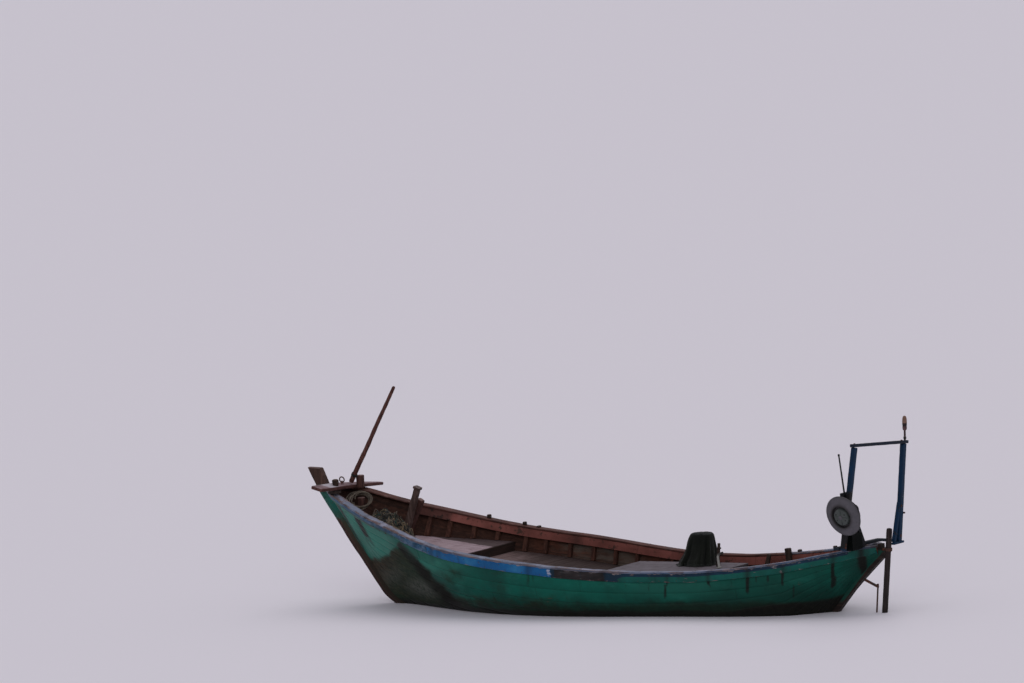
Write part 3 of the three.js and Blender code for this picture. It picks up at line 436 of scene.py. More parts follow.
def strake_material():
    """The painted top plank: bright blue, dark blue, bare or lavender-grey, by attributes along its length."""
    m = Mat("strake_paint_worn", 0.5, 0.2)
    fibre, thin, crack = grain(m, "x", 1.0, 0.4)
    cloud = m.noise(2.3, detail=6, rough=0.62)
    bright = m.ramp(cloud, [(0.3, lin(7, 72, 122)), (0.5, lin(16, 92, 144)), (0.72, lin(50, 120, 160))])
    deep = m.ramp(cloud, [(0.3, lin(5, 33, 48)), (0.55, lin(10, 44, 64)), (0.75, lin(28, 62, 80))])
    pale = m.ramp(m.noise(9.0, m.map((0.6, 1, 1.5), loc=(4, 4, 4)), 6, 0.7), [(0.3, lin(14, 42, 60)), (0.48, lin(32, 78, 108)), (0.68, lin(96, 118, 140))])
    green = m.ramp(cloud, [(0.3, lin(2, 62, 54)), (0.55, lin(6, 84, 74)), (0.75, lin(30, 108, 100))])
    bare = m.ramp(fibre, [(0.3, lin(20, 18, 18)), (0.55, lin(42, 36, 36)), (0.75, lin(84, 78, 80))])
    ragged = m.math("MULTIPLY", m.math("SUBTRACT", m.noise(9.0, m.map((1, 1, 2)), 7, 0.7), 0.5), 1.1)
    c = m.mix(m.step(m.math("ADD", m.attr("bright"), ragged), 0.3, 0.6), deep, bright)
    c = m.mix(m.step(m.math("ADD", m.attr("pale"), ragged), 0.35, 0.65), c, pale)
    c = m.mix(m.step(m.math("ADD", m.attr("bare"), ragged), 0.4, 0.55), c, bare)
    c = m.mix(m.step(m.math("ADD", m.attr("green"), m.math("MULTIPLY", ragged, 0.35)), 0.42, 0.56), c, green)
    c = m.mix(m.math("MULTIPLY", m.step(m.math("ADD", m.attr("white"), ragged), 0.5, 0.65), 0.85), c, lin(176, 176, 186))
    # worn edges and knocks
    edge = m.attr("edge")
    off = m.step(m.math("ADD", m.noise(14.0, m.map((0.45, 1, 1.4), loc=(3, 1, 1)), 8, 0.7), m.math("MULTIPLY", edge, 0.15)), 0.64, 0.69)
    c = m.mix(off, c, m.ramp(fibre, [(0.3, lin(60, 46, 40)), (0.7, lin(150, 140, 140))]))
    c = m.mix(m.math("MULTIPLY", m.attr("drip"), 0.93), c, lin(13, 15, 13))
    c = m.mix(m.math("MULTIPLY", m.step(m.noise(1.0, m.map((18, 18, 2), loc=(3, 3, 3)), 4, 0.6), 0.56, 0.76), 0.5), c, lin(14, 34, 40))
    m.colour(c)
    m.rough(m.mix(off, m.ramp(cloud, [(0.3, 0.42), (0.7, 0.62)]), (0.85, 0.85, 0.85, 1)))
    m.bump(fibre, 0.0016).bump(m.math("SUBTRACT", 1.0, off), 0.001).bump(m.math("SUBTRACT", 1.0, crack), 0.001)
    return m.done()


def cap_material():
    m = Mat("cap_paint_worn", 0.6, 0.22)
    fibre, thin, crack = grain(m, "x", 1.0, 0.4)
    cloud = m.noise(3.2, detail=7, rough=0.68)
    paint = m.ramp(cloud, [(0.3, lin(78, 92, 112)), (0.52, lin(124, 131, 150)), (0.74, lin(172, 170, 186))])
    bare = m.ramp(fibre, [(0.3, lin(62, 47, 42)), (0.55, lin(108, 88, 82)), (0.75, lin(162, 144, 142))])
    red = m.ramp(fibre, [(0.3, lin(61, 36, 31)), (0.7, lin(103, 64, 56))])
    c = m.mix(m.step(m.math("ADD", m.attr("red"), m.math("MULTIPLY", m.math("SUBTRACT", cloud, 0.5), 0.8)), 0.4, 0.6), paint, red)
    off = m.step(m.math("ADD", m.noise(6.5, m.map((0.5, 1, 1), loc=(7, 1, 1)), 8, 0.7), m.math("MULTIPLY", m.attr("edge"), 0.12)), 0.54, 0.62)
    keep = m.math("SUBTRACT", 1.0, m.math("MULTIPLY", m.attr("red"), 0.8))
    c = m.mix(m.math("MULTIPLY", m.math("MULTIPLY", off, 0.9), keep), c, bare)
    c = m.mix(m.math("MULTIPLY", m.attr("blue"), m.step(cloud, 0.32, 0.6)), c, lin(14, 62, 92))
    c = m.mix(m.math("MULTIPLY", crack, 0.7), c, lin(24, 18, 16))
    c = m.mix(m.math("MULTIPLY", m.attr("drip"), 0.75), c, lin(30, 25, 24))
    m.colour(c)
    m.rough(m.ramp(cloud, [(0.3, 0.55), (0.7, 0.8)]))
    m.bump(fibre, 0.0022).bump(m.math("SUBTRACT", 1.0, off), 0.0009).bump(m.math("SUBTRACT", 1.0, crack), 0.0018)
    return m.done()


def inside_tone(m, c):
    """Inside planks: grey in patches amidships; darker forward, as painted shade under the fore deck's end."""
    x, y, z = m.axes()
    ragged = m.math("MULTIPLY", m.math("SUBTRACT", m.noise(3.0, detail=5), 0.5), 0.5)
    at = m.math("ADD", x, ragged)
    grey = m.math("MULTIPLY", m.step(at, 0.1, 0.5), m.math("SUBTRACT", 1.0, m.step(at, 1.3, 1.7)))
    patchy = m.step(m.noise(5.0, m.map((0.5, 1, 2.0), loc=(3, 1, 7)), 6, 0.7), 0.32, 0.66)
    c = m.mix(m.math("MULTIPLY", m.math("MULTIPLY", grey, patchy), 0.85), c, lin(90, 84, 76))
    # painted shade: darker forward, under the fore deck's end
    return m.mix(m.math("MULTIPLY", m.step(at, 1.7, 2.1), 0.55), c, lin(34, 22, 17))


MAT = {}
MAT["hull"] = hull_material()
MAT["strake"] = strake_material()
MAT["cap"] = cap_material()
MAT["hull_in"] = wood("hull_inside_wood", "x", lin(48, 27, 20), lin(84, 48, 35), lin(112, 69, 51), stain=(lin(32, 22, 18), 0.54), rough=0.82, also=inside_tone)
MAT["inner_red"] = painted("inner_red_worn", "x", lin(128, 75, 67), lin(100, 58, 51), lin(70, 49, 42), lin(146, 101, 94), 0.76, 0.57)
MAT["stem"] = None  # made below with its own stains
MAT["backbone"] = wood("backbone_wood_wet", "x", lin(36, 27, 22), lin(62, 47, 38), lin(92, 72, 58), rough=0.62, stain=(lin(40, 48, 32), 0.5))
MAT["backbone_z"] = wood("backbone_wood_upright", "z", lin(28, 21, 18), lin(52, 40, 34), lin(80, 64, 54), rough=0.7, top=lin(110, 98, 94))
MAT["rib"] = wood("rib_wood_dark", "z", lin(42, 24, 18), lin(72, 42, 32), lin(98, 62, 48), rough=0.82)


def darker_starboard_edge(m, c):
    """The starboard edge of the fore deck is darker."""
    x, y, z = m.axes()
    d = m.math("ADD", m.math("ADD", y, m.math("MULTIPLY", x, 0.06)), 0.29)
    d = m.math("ADD", d, m.math("MULTIPLY", m.math("SUBTRACT", m.noise(6.0, detail=5), 0.5), 0.12))
    return m.mix(m.math("MULTIPLY", m.math("SUBTRACT", 1.0, m.step(d, -0.03, 0.03)), 0.86), c, lin(44, 30, 26))


def darker_aft_and_starboard(m, c):
    """The main deck is darker aft and to starboard."""
    x, y, z = m.axes()
    d = m.math("ADD", m.math("MULTIPLY", x, 0.75), m.math("MULTIPLY", y, 0.8))
    d = m.math("ADD", d, m.math("MULTIPLY", m.math("SUBTRACT", m.noise(3.5, detail=6, rough=0.65), 0.5), 1.1))
    return m.mix(m.math("MULTIPLY", m.math("SUBTRACT", 1.0, m.step(d, 0.4, 1.45)), 0.86), c, lin(40, 29, 26))


def sky_glint_beam_top(m, c):
    """A painted sky reflection: a pale place on the beam's top near its port end."""
    x, y, z = m.axes()
    off = m.math("ADD", m.math("ABSOLUTE", m.math("SUBTRACT", y, 0.44)), m.math("MULTIPLY", m.math("SUBTRACT", m.noise(14.0, detail=5), 0.5), 0.14))
    patch = m.math("MULTIPLY", m.math("SUBTRACT", 1.0, m.step(off, 0.07, 0.16)), m.step(m.facing(), 0.4, 0.85))
    return m.mix(m.math("MULTIPLY", patch, 0.7), c, lin(196, 194, 202))


MAT["deck_fore"] = wood("deck_wood_fore", "x", lin(108, 88, 91), lin(148, 126, 131), lin(182, 164, 171), grey=lin(172, 160, 170), top=lin(176, 157, 164), also=darker_starboard_edge)
MAT["deck_main"] = wood("deck_wood_main", "y", lin(88, 71, 69), lin(124, 103, 101), lin(154, 133, 133), grey=lin(134, 122, 124), stain=(lin(52, 38, 34), 0.56), also=darker_aft_and_starboard)
MAT["deck_aft"] = wood("deck_wood_aft", "x", lin(66, 60, 60), lin(92, 86, 88), lin(120, 114, 118), grey=lin(124, 120, 127), top=lin(116, 110, 117), stain=(lin(46, 40, 38), 0.57))
MAT["bare"] = wood("bare_boards", "y", lin(46, 28, 23), lin(82, 54, 44), lin(110, 78, 66))
# a darker copy of the bare boards, as painted shade for the fore bulkhead under the fore deck's edge
MAT["step"] = wood("step_boards_painted_shade", "y", lin(28, 19, 16), lin(46, 31, 26), lin(66, 48, 41))
MAT["beam"] = wood("beam_wood_plum", "y", lin(58, 34, 34), lin(88, 56, 52), lin(116, 78, 72), top=lin(148, 126, 131), k=0.9, also=sky_glint_beam_top)
MAT["beam_z"] = wood("bitt_wood_plum", "z", lin(50, 31, 28), lin(80, 52, 46), lin(106, 74, 66), top=lin(136, 112, 108))
MAT["bitt"] = wood("bitt_wood_olive", "z", lin(34, 25, 20), lin(60, 45, 37), lin(88, 69, 58), top=lin(108, 91, 82), rough=0.85)
MAT["samson"] = wood("post_wood_grey", "z", lin(48, 38, 34), lin(84, 66, 60), lin(116, 98, 92), grey=lin(112, 100, 98), top=lin(140, 128, 126))
MAT["pole"] = wood("pole_wood_red", "z", lin(52, 30, 26), lin(86, 52, 45), lin(118, 80, 70), rough=0.75, k=1.4)


def weathered_foot(m, c):
    """The rudder stock is bare and grey-brown between wind and water."""
    x, y, z = m.axes()
    low = m.math("SUBTRACT", 1.0, m.step(m.math("ADD", z, m.math("MULTIPLY", m.noise(5.0, detail=5), 0.4)), 0.5, 1.05))
    return m.mix(m.math("MULTIPLY", low, 0.7), c, m.ramp(m.noise(18.0, m.map((1, 1, 0.2)), 6, 0.7), [(0.35, lin(22, 19, 19)), (0.65, lin(60, 54, 53))]))


MAT["rudder"] = wood("rudder_wood_dark", "z", lin(25, 19, 19), lin(45, 35, 35), lin(70, 59, 58), grey=lin(72, 66, 64), grey_at=0.56, also=weathered_foot)
MAT["rust"] = rusty("rusty_iron_old", lin(30, 22, 20), lin(92, 50, 34))
MAT["iron"] = rusty("engine_iron_oily", lin(26, 26, 26), lin(58, 46, 40), 0.5)
MAT["frame_blue"] = painted("frame_blue_worn", "z", lin(1, 34, 58), lin(3, 44, 74), lin(40, 34, 34), lin(22, 58, 84), 0.6, 0.62)
MAT["base_dark"] = painted("frame_base_dark", "y", lin(16, 24, 32), lin(24, 34, 44), lin(44, 34, 31), lin(52, 58, 66), 0.65, 0.58)
MAT["frame_dark"] = painted("frame_dark_worn", "y", lin(9, 21, 36), lin(15, 29, 46), lin(36, 30, 31), lin(38, 46, 62), 0.62, 0.61)
MAT["steel_dark"] = painted("dark_steel_worn", "z", lin(10, 11, 14), lin(18, 19, 24), lin(46, 34, 28), lin(38, 40, 46), 0.55, 0.65)
MAT["drive"] = painted("drive_paint_oily", "z", lin(1, 4, 3), lin(4, 9, 7), lin(16, 13, 11), lin(10, 15, 13), 0.6, 0.66, dirt=lin(4, 4, 3), spec=0.08)
MAT["pipe"] = painted("pipe_white_dirty", "z", lin(178, 178, 172), lin(150, 150, 144), lin(98, 62, 44), lin(190, 190, 186), 0.45, 0.62)


def stem_material():
    m = Mat("stem_wood_stained", 0.8, 0.25)
    fibre, thin, crack = grain(m, "z", 0.8, 0.5)
    c = m.ramp(fibre, [(0.28, lin(40, 28, 24)), (0.5, lin(68, 48, 40)), (0.72, lin(94, 70, 60))])
    x, y, z = m.axes()
    blotch = m.noise(5.0, detail=7, rough=0.7)
    ragged = m.math("MULTIPLY", m.math("SUBTRACT", blotch, 0.5), 0.8)
    # paint between the rail and the brown foot, thin and stained up to the head
    rise = m.math("ADD", z, m.math("MULTIPLY", ragged, 0.3))
    paint = m.math("MULTIPLY", m.step(rise, 1.02, 1.2), m.math("SUBTRACT", 1.0, m.step(rise, 1.42, 1.66)))
    amount = m.step(m.math("ADD", paint, ragged), 0.34, 0.7)
    c = m.mix(m.math("MULTIPLY", amount, 0.88), c, m.ramp(blotch, [(0.35, lin(6, 62, 54)), (0.65, lin(58, 122, 108))]))
    low = m.math("SUBTRACT", 1.0, m.step(rise, 0.2, 0.95))
    c = m.mix(m.math("MULTIPLY", low, 0.8), c, m.ramp(thin, [(0.3, lin(30, 20, 16)), (0.7, lin(62, 42, 34))]))
    # the half that meets the planking carries the planking's paint and grime
    near = m.math("SUBTRACT", 1.0, m.step(m.math("ADD", m.attr("front"), m.math("MULTIPLY", ragged, 0.35)), 0.42, 0.6))
    near = m.math("MULTIPLY", near, m.math("SUBTRACT", 1.0, m.step(z, 1.3, 1.45)))
    foul = m.ramp(m.math("MULTIPLY", m.math("ADD", z, m.math("MULTIPLY", ragged, 0.3)), 0.7), [(0.3, lin(38, 32, 23)), (0.55, lin(52, 42, 31)), (0.74, lin(56, 58, 44)), (0.86, lin(26, 96, 84))])
    c = m.mix(m.math("MULTIPLY", near, 0.9), c, foul)
    edge_dark = m.math("MULTIPLY", m.math("MULTIPLY", m.step(m.attr("front"), 0.5, 0.8), m.math("SUBTRACT", 1.0, m.step(rise, 0.95, 1.25))), 0.7)
    c = m.mix(edge_dark, c, lin(40, 24, 19))
    # painted highlight: faces that look up are paler, as if lit by the sky
    up = m.math("MULTIPLY", m.step(m.facing(), 0.25, 0.8), 0.7)
    c = m.mix(up, c, lin(110, 92, 89))
    c = m.mix(m.math("MULTIPLY", crack, 0.75), c, lin(22, 16, 13))
    m.colour(c)
    m.bump(fibre, 0.003).bump(m.math("SUBTRACT", 1.0, crack), 0.003).bump(blotch, 0.002)
    return m.done()


MAT["stem"] = stem_material()


def rope_material(name, dark, mid, light):
    m = Mat(name, 0.9, 0.15)
    m.b.inputs["Sheen Weight"].default_value = 0.15
    a = m.noise(9.0, detail=4)
    hair = m.noise(420.0, detail=3, rough=0.7)
    c = m.ramp(a, [(0.3, dark), (0.52, mid), (0.74, light)])
    # painted shade in the valleys between the strands
    c = m.mix(m.math("MULTIPLY", m.attr("valley_shade"), 0.75), c, tuple(v * 0.25 for v in dark[:3]) + (1,))
    c = m.mix(m.math("MULTIPLY", m.step(hair, 0.5, 0.7), 0.4), c, light)
    m.colour(c)
    m.bump(hair, 0.0006).bump(m.noise(120.0, detail=3), 0.0008)
    return m.done()


MAT["rope"] = rope_material("rope_laid_grey", lin(66, 58, 50), lin(102, 92, 80), lin(140, 130, 118))
MAT["twine_tan"] = rope_material("net_twine_tan", lin(88, 74, 54), lin(126, 110, 86), lin(158, 146, 122))
MAT["twine_dark"] = rope_material("net_twine_dark", lin(26, 28, 26), lin(44, 46, 44), lin(70, 70, 66))
MAT["twine_green"] = rope_material("net_twine_green", lin(14, 40, 36), lin(26, 62, 54), lin(54, 92, 82))


def net_material():
    m = Mat("net_heap_mesh", 0.95, 0.1)
    a = m.noise(5.5, detail=6, rough=0.7, dist=0.6)
    strands = m.voronoi(46.0, m.map((1, 1, 1.4)), "DISTANCE_TO_EDGE")
    fine = m.voronoi(120.0, None, "DISTANCE_TO_EDGE")
    c = m.ramp(a, [(0.3, lin(20, 19, 17)), (0.46, lin(42, 37, 31)), (0.58, lin(72, 62, 49)), (0.78, lin(104, 92, 72))])
    line = m.math("SUBTRACT", 1.0, m.step(strands, 0.02, 0.11))
    c = m.mix(m.math("MULTIPLY", line, 0.45), c, lin(138, 125, 103))
    c = m.mix(m.math("MULTIPLY", m.math("SUBTRACT", 1.0, m.step(fine, 0.02, 0.12)), 0.4), c, lin(22, 20, 18))
    m.colour(c)
    m.bump(line, 0.003).bump(fine, 0.001).bump(a, 0.01)
    return m.done()


MAT["net"] = net_material()


def cloth_material():
    m = Mat("cover_cloth_tarp", 0.82, 0.15)
    m.b.inputs["Sheen Weight"].default_value = 0.08
    m.b.inputs["Sheen Roughness"].default_value = 0.5
    weave = m.wave(260.0, direction="X", dist=0.6)
    weft = m.wave(260.0, direction="Z", dist=0.6)
    cloud = m.noise(4.5, detail=7, rough=0.68)
    c = m.ramp(cloud, [(0.3, lin(6, 9, 7)), (0.52, lin(12, 17, 12)), (0.74, lin(25, 31, 23))])
    dust = m.math("MULTIPLY", m.step(m.facing(), 0.25, 0.9), m.step(m.noise(8.0, detail=5), 0.25, 0.65))
    c = m.mix(m.math("MULTIPLY", dust, 0.45), c, lin(44, 49, 50))
    x, y, z = m.axes()
    foot = m.math("SUBTRACT", 1.0, m.step(z, 0.56, 0.68))
    c = m.mix(m.math("MULTIPLY", foot, 0.5), c, lin(12, 16, 12))
    c = m.mix(m.math("MULTIPLY", m.attr("crease"), 0.35), c, lin(40, 45, 37))
    spots = m.step(m.noise(26.0, m.map(loc=(3, 2, 1)), 5, 0.7), 0.64, 0.7)
    c = m.mix(m.math("MULTIPLY", spots, 0.3), c, lin(60, 60, 54))
    m.colour(c)
    m.bump(weave, 0.0006).bump(weft, 0.0006).bump(m.noise(18.0, detail=5), 0.004)
    return m.done()


MAT["cloth"] = cloth_material()


def metal(name, base, second, rough, met, scratch=True, streak=None):
    m = Mat(name, rough, 0.5, met)
    cloud = m.noise(7.0, detail=7, rough=0.65)
    c = m.ramp(cloud, [(0.3, base), (0.7, second)])
    fine = m.noise(55.0, detail=4)
    c = m.mix(m.math("MULTIPLY", m.step(fine, 0.55, 0.75), 0.3), c, tuple(v * 0.45 for v in base[:3]) + (1,))
    if streak:
        s = m.step(m.noise(1.0, m.map((30, 30, 3.2)), 5, 0.65), 0.58, 0.74)
        c = m.mix(m.math("MULTIPLY", s, 0.6), c, streak)
    c = m.mix(m.attr("dirt"), c, lin(26, 22, 20))
    m.colour(c)
    m.rough(m.ramp(cloud, [(0.3, max(rough - 0.1, 0.1)), (0.7, rough + 0.18)]))
    m.bump(fine, 0.0004).bump(cloud, 0.001)
    return m.done()


MAT["sheave"] = metal("sheave_metal_worn", lin(64, 63, 68), lin(94, 91, 97), 0.65, 0.1, streak=lin(50, 42, 40))
# a darker copy of the sheave metal: the groove, bolts and back, and painted shade in the recess round the hub
MAT["sheave_dark"] = metal("sheave_groove_and_hub_shade", lin(24, 24, 28), lin(44, 42, 44), 0.6, 0.2, streak=lin(60, 44, 34))
MAT["sheave_hub"] = metal("sheave_hub_greenish", lin(52, 60, 58), lin(76, 82, 79), 0.55, 0.2, streak=lin(44, 36, 30))
MAT["steel"] = metal("shaft_steel_dull", lin(120, 118, 116), lin(150, 148, 146), 0.35, 0.9)
MAT["bronze"] = metal("bronze_dull", lin(128, 102, 56), lin(96, 92, 62), 0.4, 0.85, streak=lin(60, 84, 66))


def lamp_material():
    m = Mat("lamp_wrapped", 0.7, 0.3)
    a = m.noise(16.0, detail=6, rough=0.65)
    rings = m.wave(15.0, direction="Z", dist=1.2, detail=3)
    c = m.ramp(a, [(0.3, lin(84, 54, 54)), (0.55, lin(118, 84, 84)), (0.75, lin(150, 122, 124))])
    c = m.mix(m.math("MULTIPLY", m.step(rings, 0.6, 0.9), 0.45), c, lin(60, 40, 42))
    lo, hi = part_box("frame_lamp")
    x, y, z = m.axes()
    up = m.math("DIVIDE", m.math("SUBTRACT", z, float(lo[2])), float(hi[2] - lo[2]))
    c = m.mix(m.step(up, 0.66, 0.72), m.mix(0.45, c, lin(46, 34, 36)), m.mix(0.55, c, lin(128, 102, 78)))
    band = m.math("MULTIPLY", m.step(up, 0.58, 0.62), m.math("SUBTRACT", 1.0, m.step(up, 0.68, 0.72)))
    c = m.mix(m.math("MULTIPLY", band, 0.85), c, lin(30, 22, 22))
    c = m.mix(m.attr("dirt"), c, lin(26, 22, 24))
    m.colour(c)
    m.bump(a, 0.002).bump(rings, 0.002)
    return m.done()


MAT["lamp"] = lamp_material()


# ============================================================ mesh helpers
def make(name, verts, faces, mats, body=BOAT, swap=(), attrs=None, index=None, sharp=38, flat=False, heal=True):
    me = bpy.data.meshes.new(name)
    me.from_pydata([tuple(map(float, v)) for v in verts], [], [tuple(int(i) for i in f) for f in faces])
    me.update()
    for m in mats if isinstance(mats, (list, tuple)) else [mats]:
        me.materials.append(m)
    if index is not None:
        me.polygons.foreach_set("material_index", np.asarray(index, np.int32))
    for key, values in (attrs or {}).items():
        a = me.attributes.new(key, "FLOAT", "POINT")
        a.data.foreach_set("value", np.asarray(values, np.float32).ravel())
    if heal:
        bm = bmesh.new()
        bm.from_mesh(me)
        bmesh.ops.recalc_face_normals(bm, faces=bm.faces)
        bm.to_mesh(me)
        bm.free()
    me.polygons.foreach_set("use_smooth", [not flat] * len(me.polygons))
    if not flat and sharp:
        me.set_sharp_from_angle(angle=math.radians(sharp))
    o = bpy.data.objects.new(name, me)
    scene.collection.objects.link(o)
    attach(o, body)
    if swap:
        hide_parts(*swap)
    return o


def bevel(o, width, segments=2, angle=35):
    b = o.modifiers.new("edges", "BEVEL")
    b.width, b.segments = width, segments
    b.limit_method, b.angle_limit = "ANGLE", math.radians(angle)
    b.harden_normals = False
    return o


def rough_up(o, strength, size, name):
    """Subdivide a block simply and push its surface about a little, as hewn or worn wood has."""
    s = o.modifiers.new("cells", "SUBSURF")
    s.subdivision_type, s.levels, s.render_levels = "SIMPLE", 3, 3
    t = bpy.data.textures.new(name, "CLOUDS")
    t.noise_scale, t.noise_depth = size, 2
    d = o.modifiers.new("hewn", "DISPLACE")
    d.texture, d.strength, d.mid_level = t, strength, 0.5
    d.texture_coords = "LOCAL"
    return o


def join_parts(parts):
    """One vertex and face list, with attributes, from several (verts, faces, attrs, material index)."""
    verts, faces, index, attrs = [], [], [], {}
    keys = sorted({k for p in parts for k in p[2]})
    for v, f, a, mi in parts:
        base = len(verts)
        verts += [tuple(map(float, q)) for q in v]
        faces += [tuple(int(i) + base for i in t) for t in f]
        index += [mi] * len(f) if isinstance(mi, int) else list(mi)
        for k in keys:
            attrs.setdefault(k, []).append(np.broadcast_to(np.asarray(a.get(k, 0.0), float), (len(v),)))
    return verts, faces, {k: np.concatenate(v) for k, v in attrs.items()}, index


def ring_loft(rings, caps=True):
    """Closed tube through rings of equal length."""
    r = np.asarray(rings, float)
    m, n = r.shape[:2]
    faces = [(i * n + j, i * n + (j + 1) % n, (i + 1) * n + (j + 1) % n, (i + 1) * n + j) for i in range(m - 1) for j in range(n)]
    if caps:
        faces.append(tuple(range(n - 1, -1, -1)))
        faces.append(tuple((m - 1) * n + j for j in range(n)))
    return r.reshape(-1, 3), faces


def frames(line):
    """Tangent and two steady cross directions along a line."""
    p = np.asarray(line, float)
    t = np.gradient(p, axis=0)
    t /= np.linalg.norm(t, axis=1)[:, None]
    a = np.zeros_like(p)
    ref = np.array([0, 0, 1.0]) if abs(t[0][2]) < 0.9 else np.array([1.0, 0, 0])
    u = np.cross(t[0], ref)
    u /= np.linalg.norm(u)
    for i in range(len(p)):
        u = u - t[i] * (u @ t[i])
        u /= np.linalg.norm(u)
        a[i] = u
    return t, a, np.cross(t, a)


def tube(line, radius, sides=8, caps=True):
    t, a, b = frames(line)
    r = np.broadcast_to(np.asarray(radius, float), (len(line),))
    w = np.linspace(0, 2 * np.pi, sides, endpoint=False)
    rings = [line[i] + r[i] * (np.cos(w)[:, None] * a[i] + np.sin(w)[:, None] * b[i]) for i in range(len(line))]
    return ring_loft(rings, caps)


def laid(line, d, pitch=3.4, strands=3, points=15, start_turn=0.0):
    """A laid rope of diameter d along a line: lobes that twist, with the valleys marked for painted shade between the
    strands.
    """
    line = np.asarray(line, float)
    seg = np.linalg.norm(np.diff(line, axis=0), axis=1)
    s = np.concatenate([[0], np.cumsum(seg)])
    step = pitch * d / 9
    n = max(int(s[-1] / step), 4)
    at = np.linspace(0, s[-1], n + 1)
    p = np.stack([np.interp(at, s, line[:, k]) for k in range(3)], 1)
    t, a, b = frames(p)
    w = np.linspace(0, 2 * np.pi, points, endpoint=False)
    rings, valley_shade = [], []
    for i in range(len(p)):
        lobe = np.abs(np.cos(strands * (w + start_turn - 2 * np.pi * at[i] / (pitch * d)) / 2))
        r = d * (0.395 + 0.115 * lobe**0.75)
        rings.append(p[i] + r[:, None] * (np.cos(w)[:, None] * a[i] + np.sin(w)[:, None] * b[i]))
        valley_shade.append(1 - lobe)
    v, f = ring_loft(rings)
    return v, f, {"valley_shade": np.concatenate(valley_shade) ** 2}, p


def lathe(at, axis, rows, sides=48):
    """Turned solid: rows of [distance along the axis, radius], open or ending on the axis."""
    axis = Vector(axis).normalized()
    u = axis.orthogonal().normalized()
    w = axis.cross(u)
    at = Vector(at)
    rings = []
    for s, r in rows:
        c = at + axis * s
        rings.append([tuple(c + (u * math.cos(k) + w * math.sin(k)) * max(r, 1e-5)) for k in np.linspace(0, 2 * np.pi, sides, endpoint=False)])
    r = np.asarray(rings)
    m, n = r.shape[:2]
    faces = [(i * n + j, i * n + (j + 1) % n, (i + 1) * n + (j + 1) % n, (i + 1) * n + j) for i in range(m - 1) for j in range(n)]
    return r.reshape(-1, 3), faces


def close_ends(v, f, n):
    """Caps for a lathe whose first and last rings are small discs."""
    m = len(v) // n
    f = list(f)
    f.append(tuple(range(n - 1, -1, -1)))
    f.append(tuple((m - 1) * n + j for j in range(n)))
    return v, f


def soft_rows(rows, per=5, sharp_deg=None):
    """Rounds a lathe profile's corners a little."""
    p = [np.array(r, float) for r in rows]
    out = [p[0]]
    for i in range(1, len(p) - 1):
        a, b = p[i - 1] - p[i], p[i + 1] - p[i]
        la, lb = np.linalg.norm(a), np.linalg.norm(b)
        k = min(0.0035, la * 0.4, lb * 0.4)
        q0, q1 = p[i] + a / la * k, p[i] + b / lb * k
        for t in np.linspace(0, 1, 4):
            out.append((1 - t) ** 2 * q0 + 2 * t * (1 - t) * p[i] + t**2 * q1)
    out.append(p[-1])
    return out


def hexbolt(at, axis, r=0.012, h=0.008):
    v, f = lathe(at, axis, [(0, r), (h * 0.8, r), (h, r * 0.8)], 6)
    return close_ends(v, f, 6)


def plank_box(corners_low, corners_high, edge=0.004):
    """A board between two rings of 4 corners, with chamfered long edges."""
    lo, hi = np.asarray(corners_low, float), np.asarray(corners_high, float)

    def ring(c):
        out = []
        for i in range(4):
            for j in (i - 1, (i + 1) % 4):
                d = c[j] - c[i]
                L = np.linalg.norm(d)
                out.append(c[i] + d / L * min(edge, L * 0.3))
        return out

    end = (hi - lo) / np.maximum(np.linalg.norm(hi - lo, axis=1), 1e-9)[:, None] * edge * 0.6
    inner_lo = lo.mean(0) + (lo - lo.mean(0)) * 0.9
    inner_hi = hi.mean(0) + (hi - hi.mean(0)) * 0.9
    return ring_loft([ring(inner_lo), ring(lo + end), ring(hi - end), ring(inner_hi)])


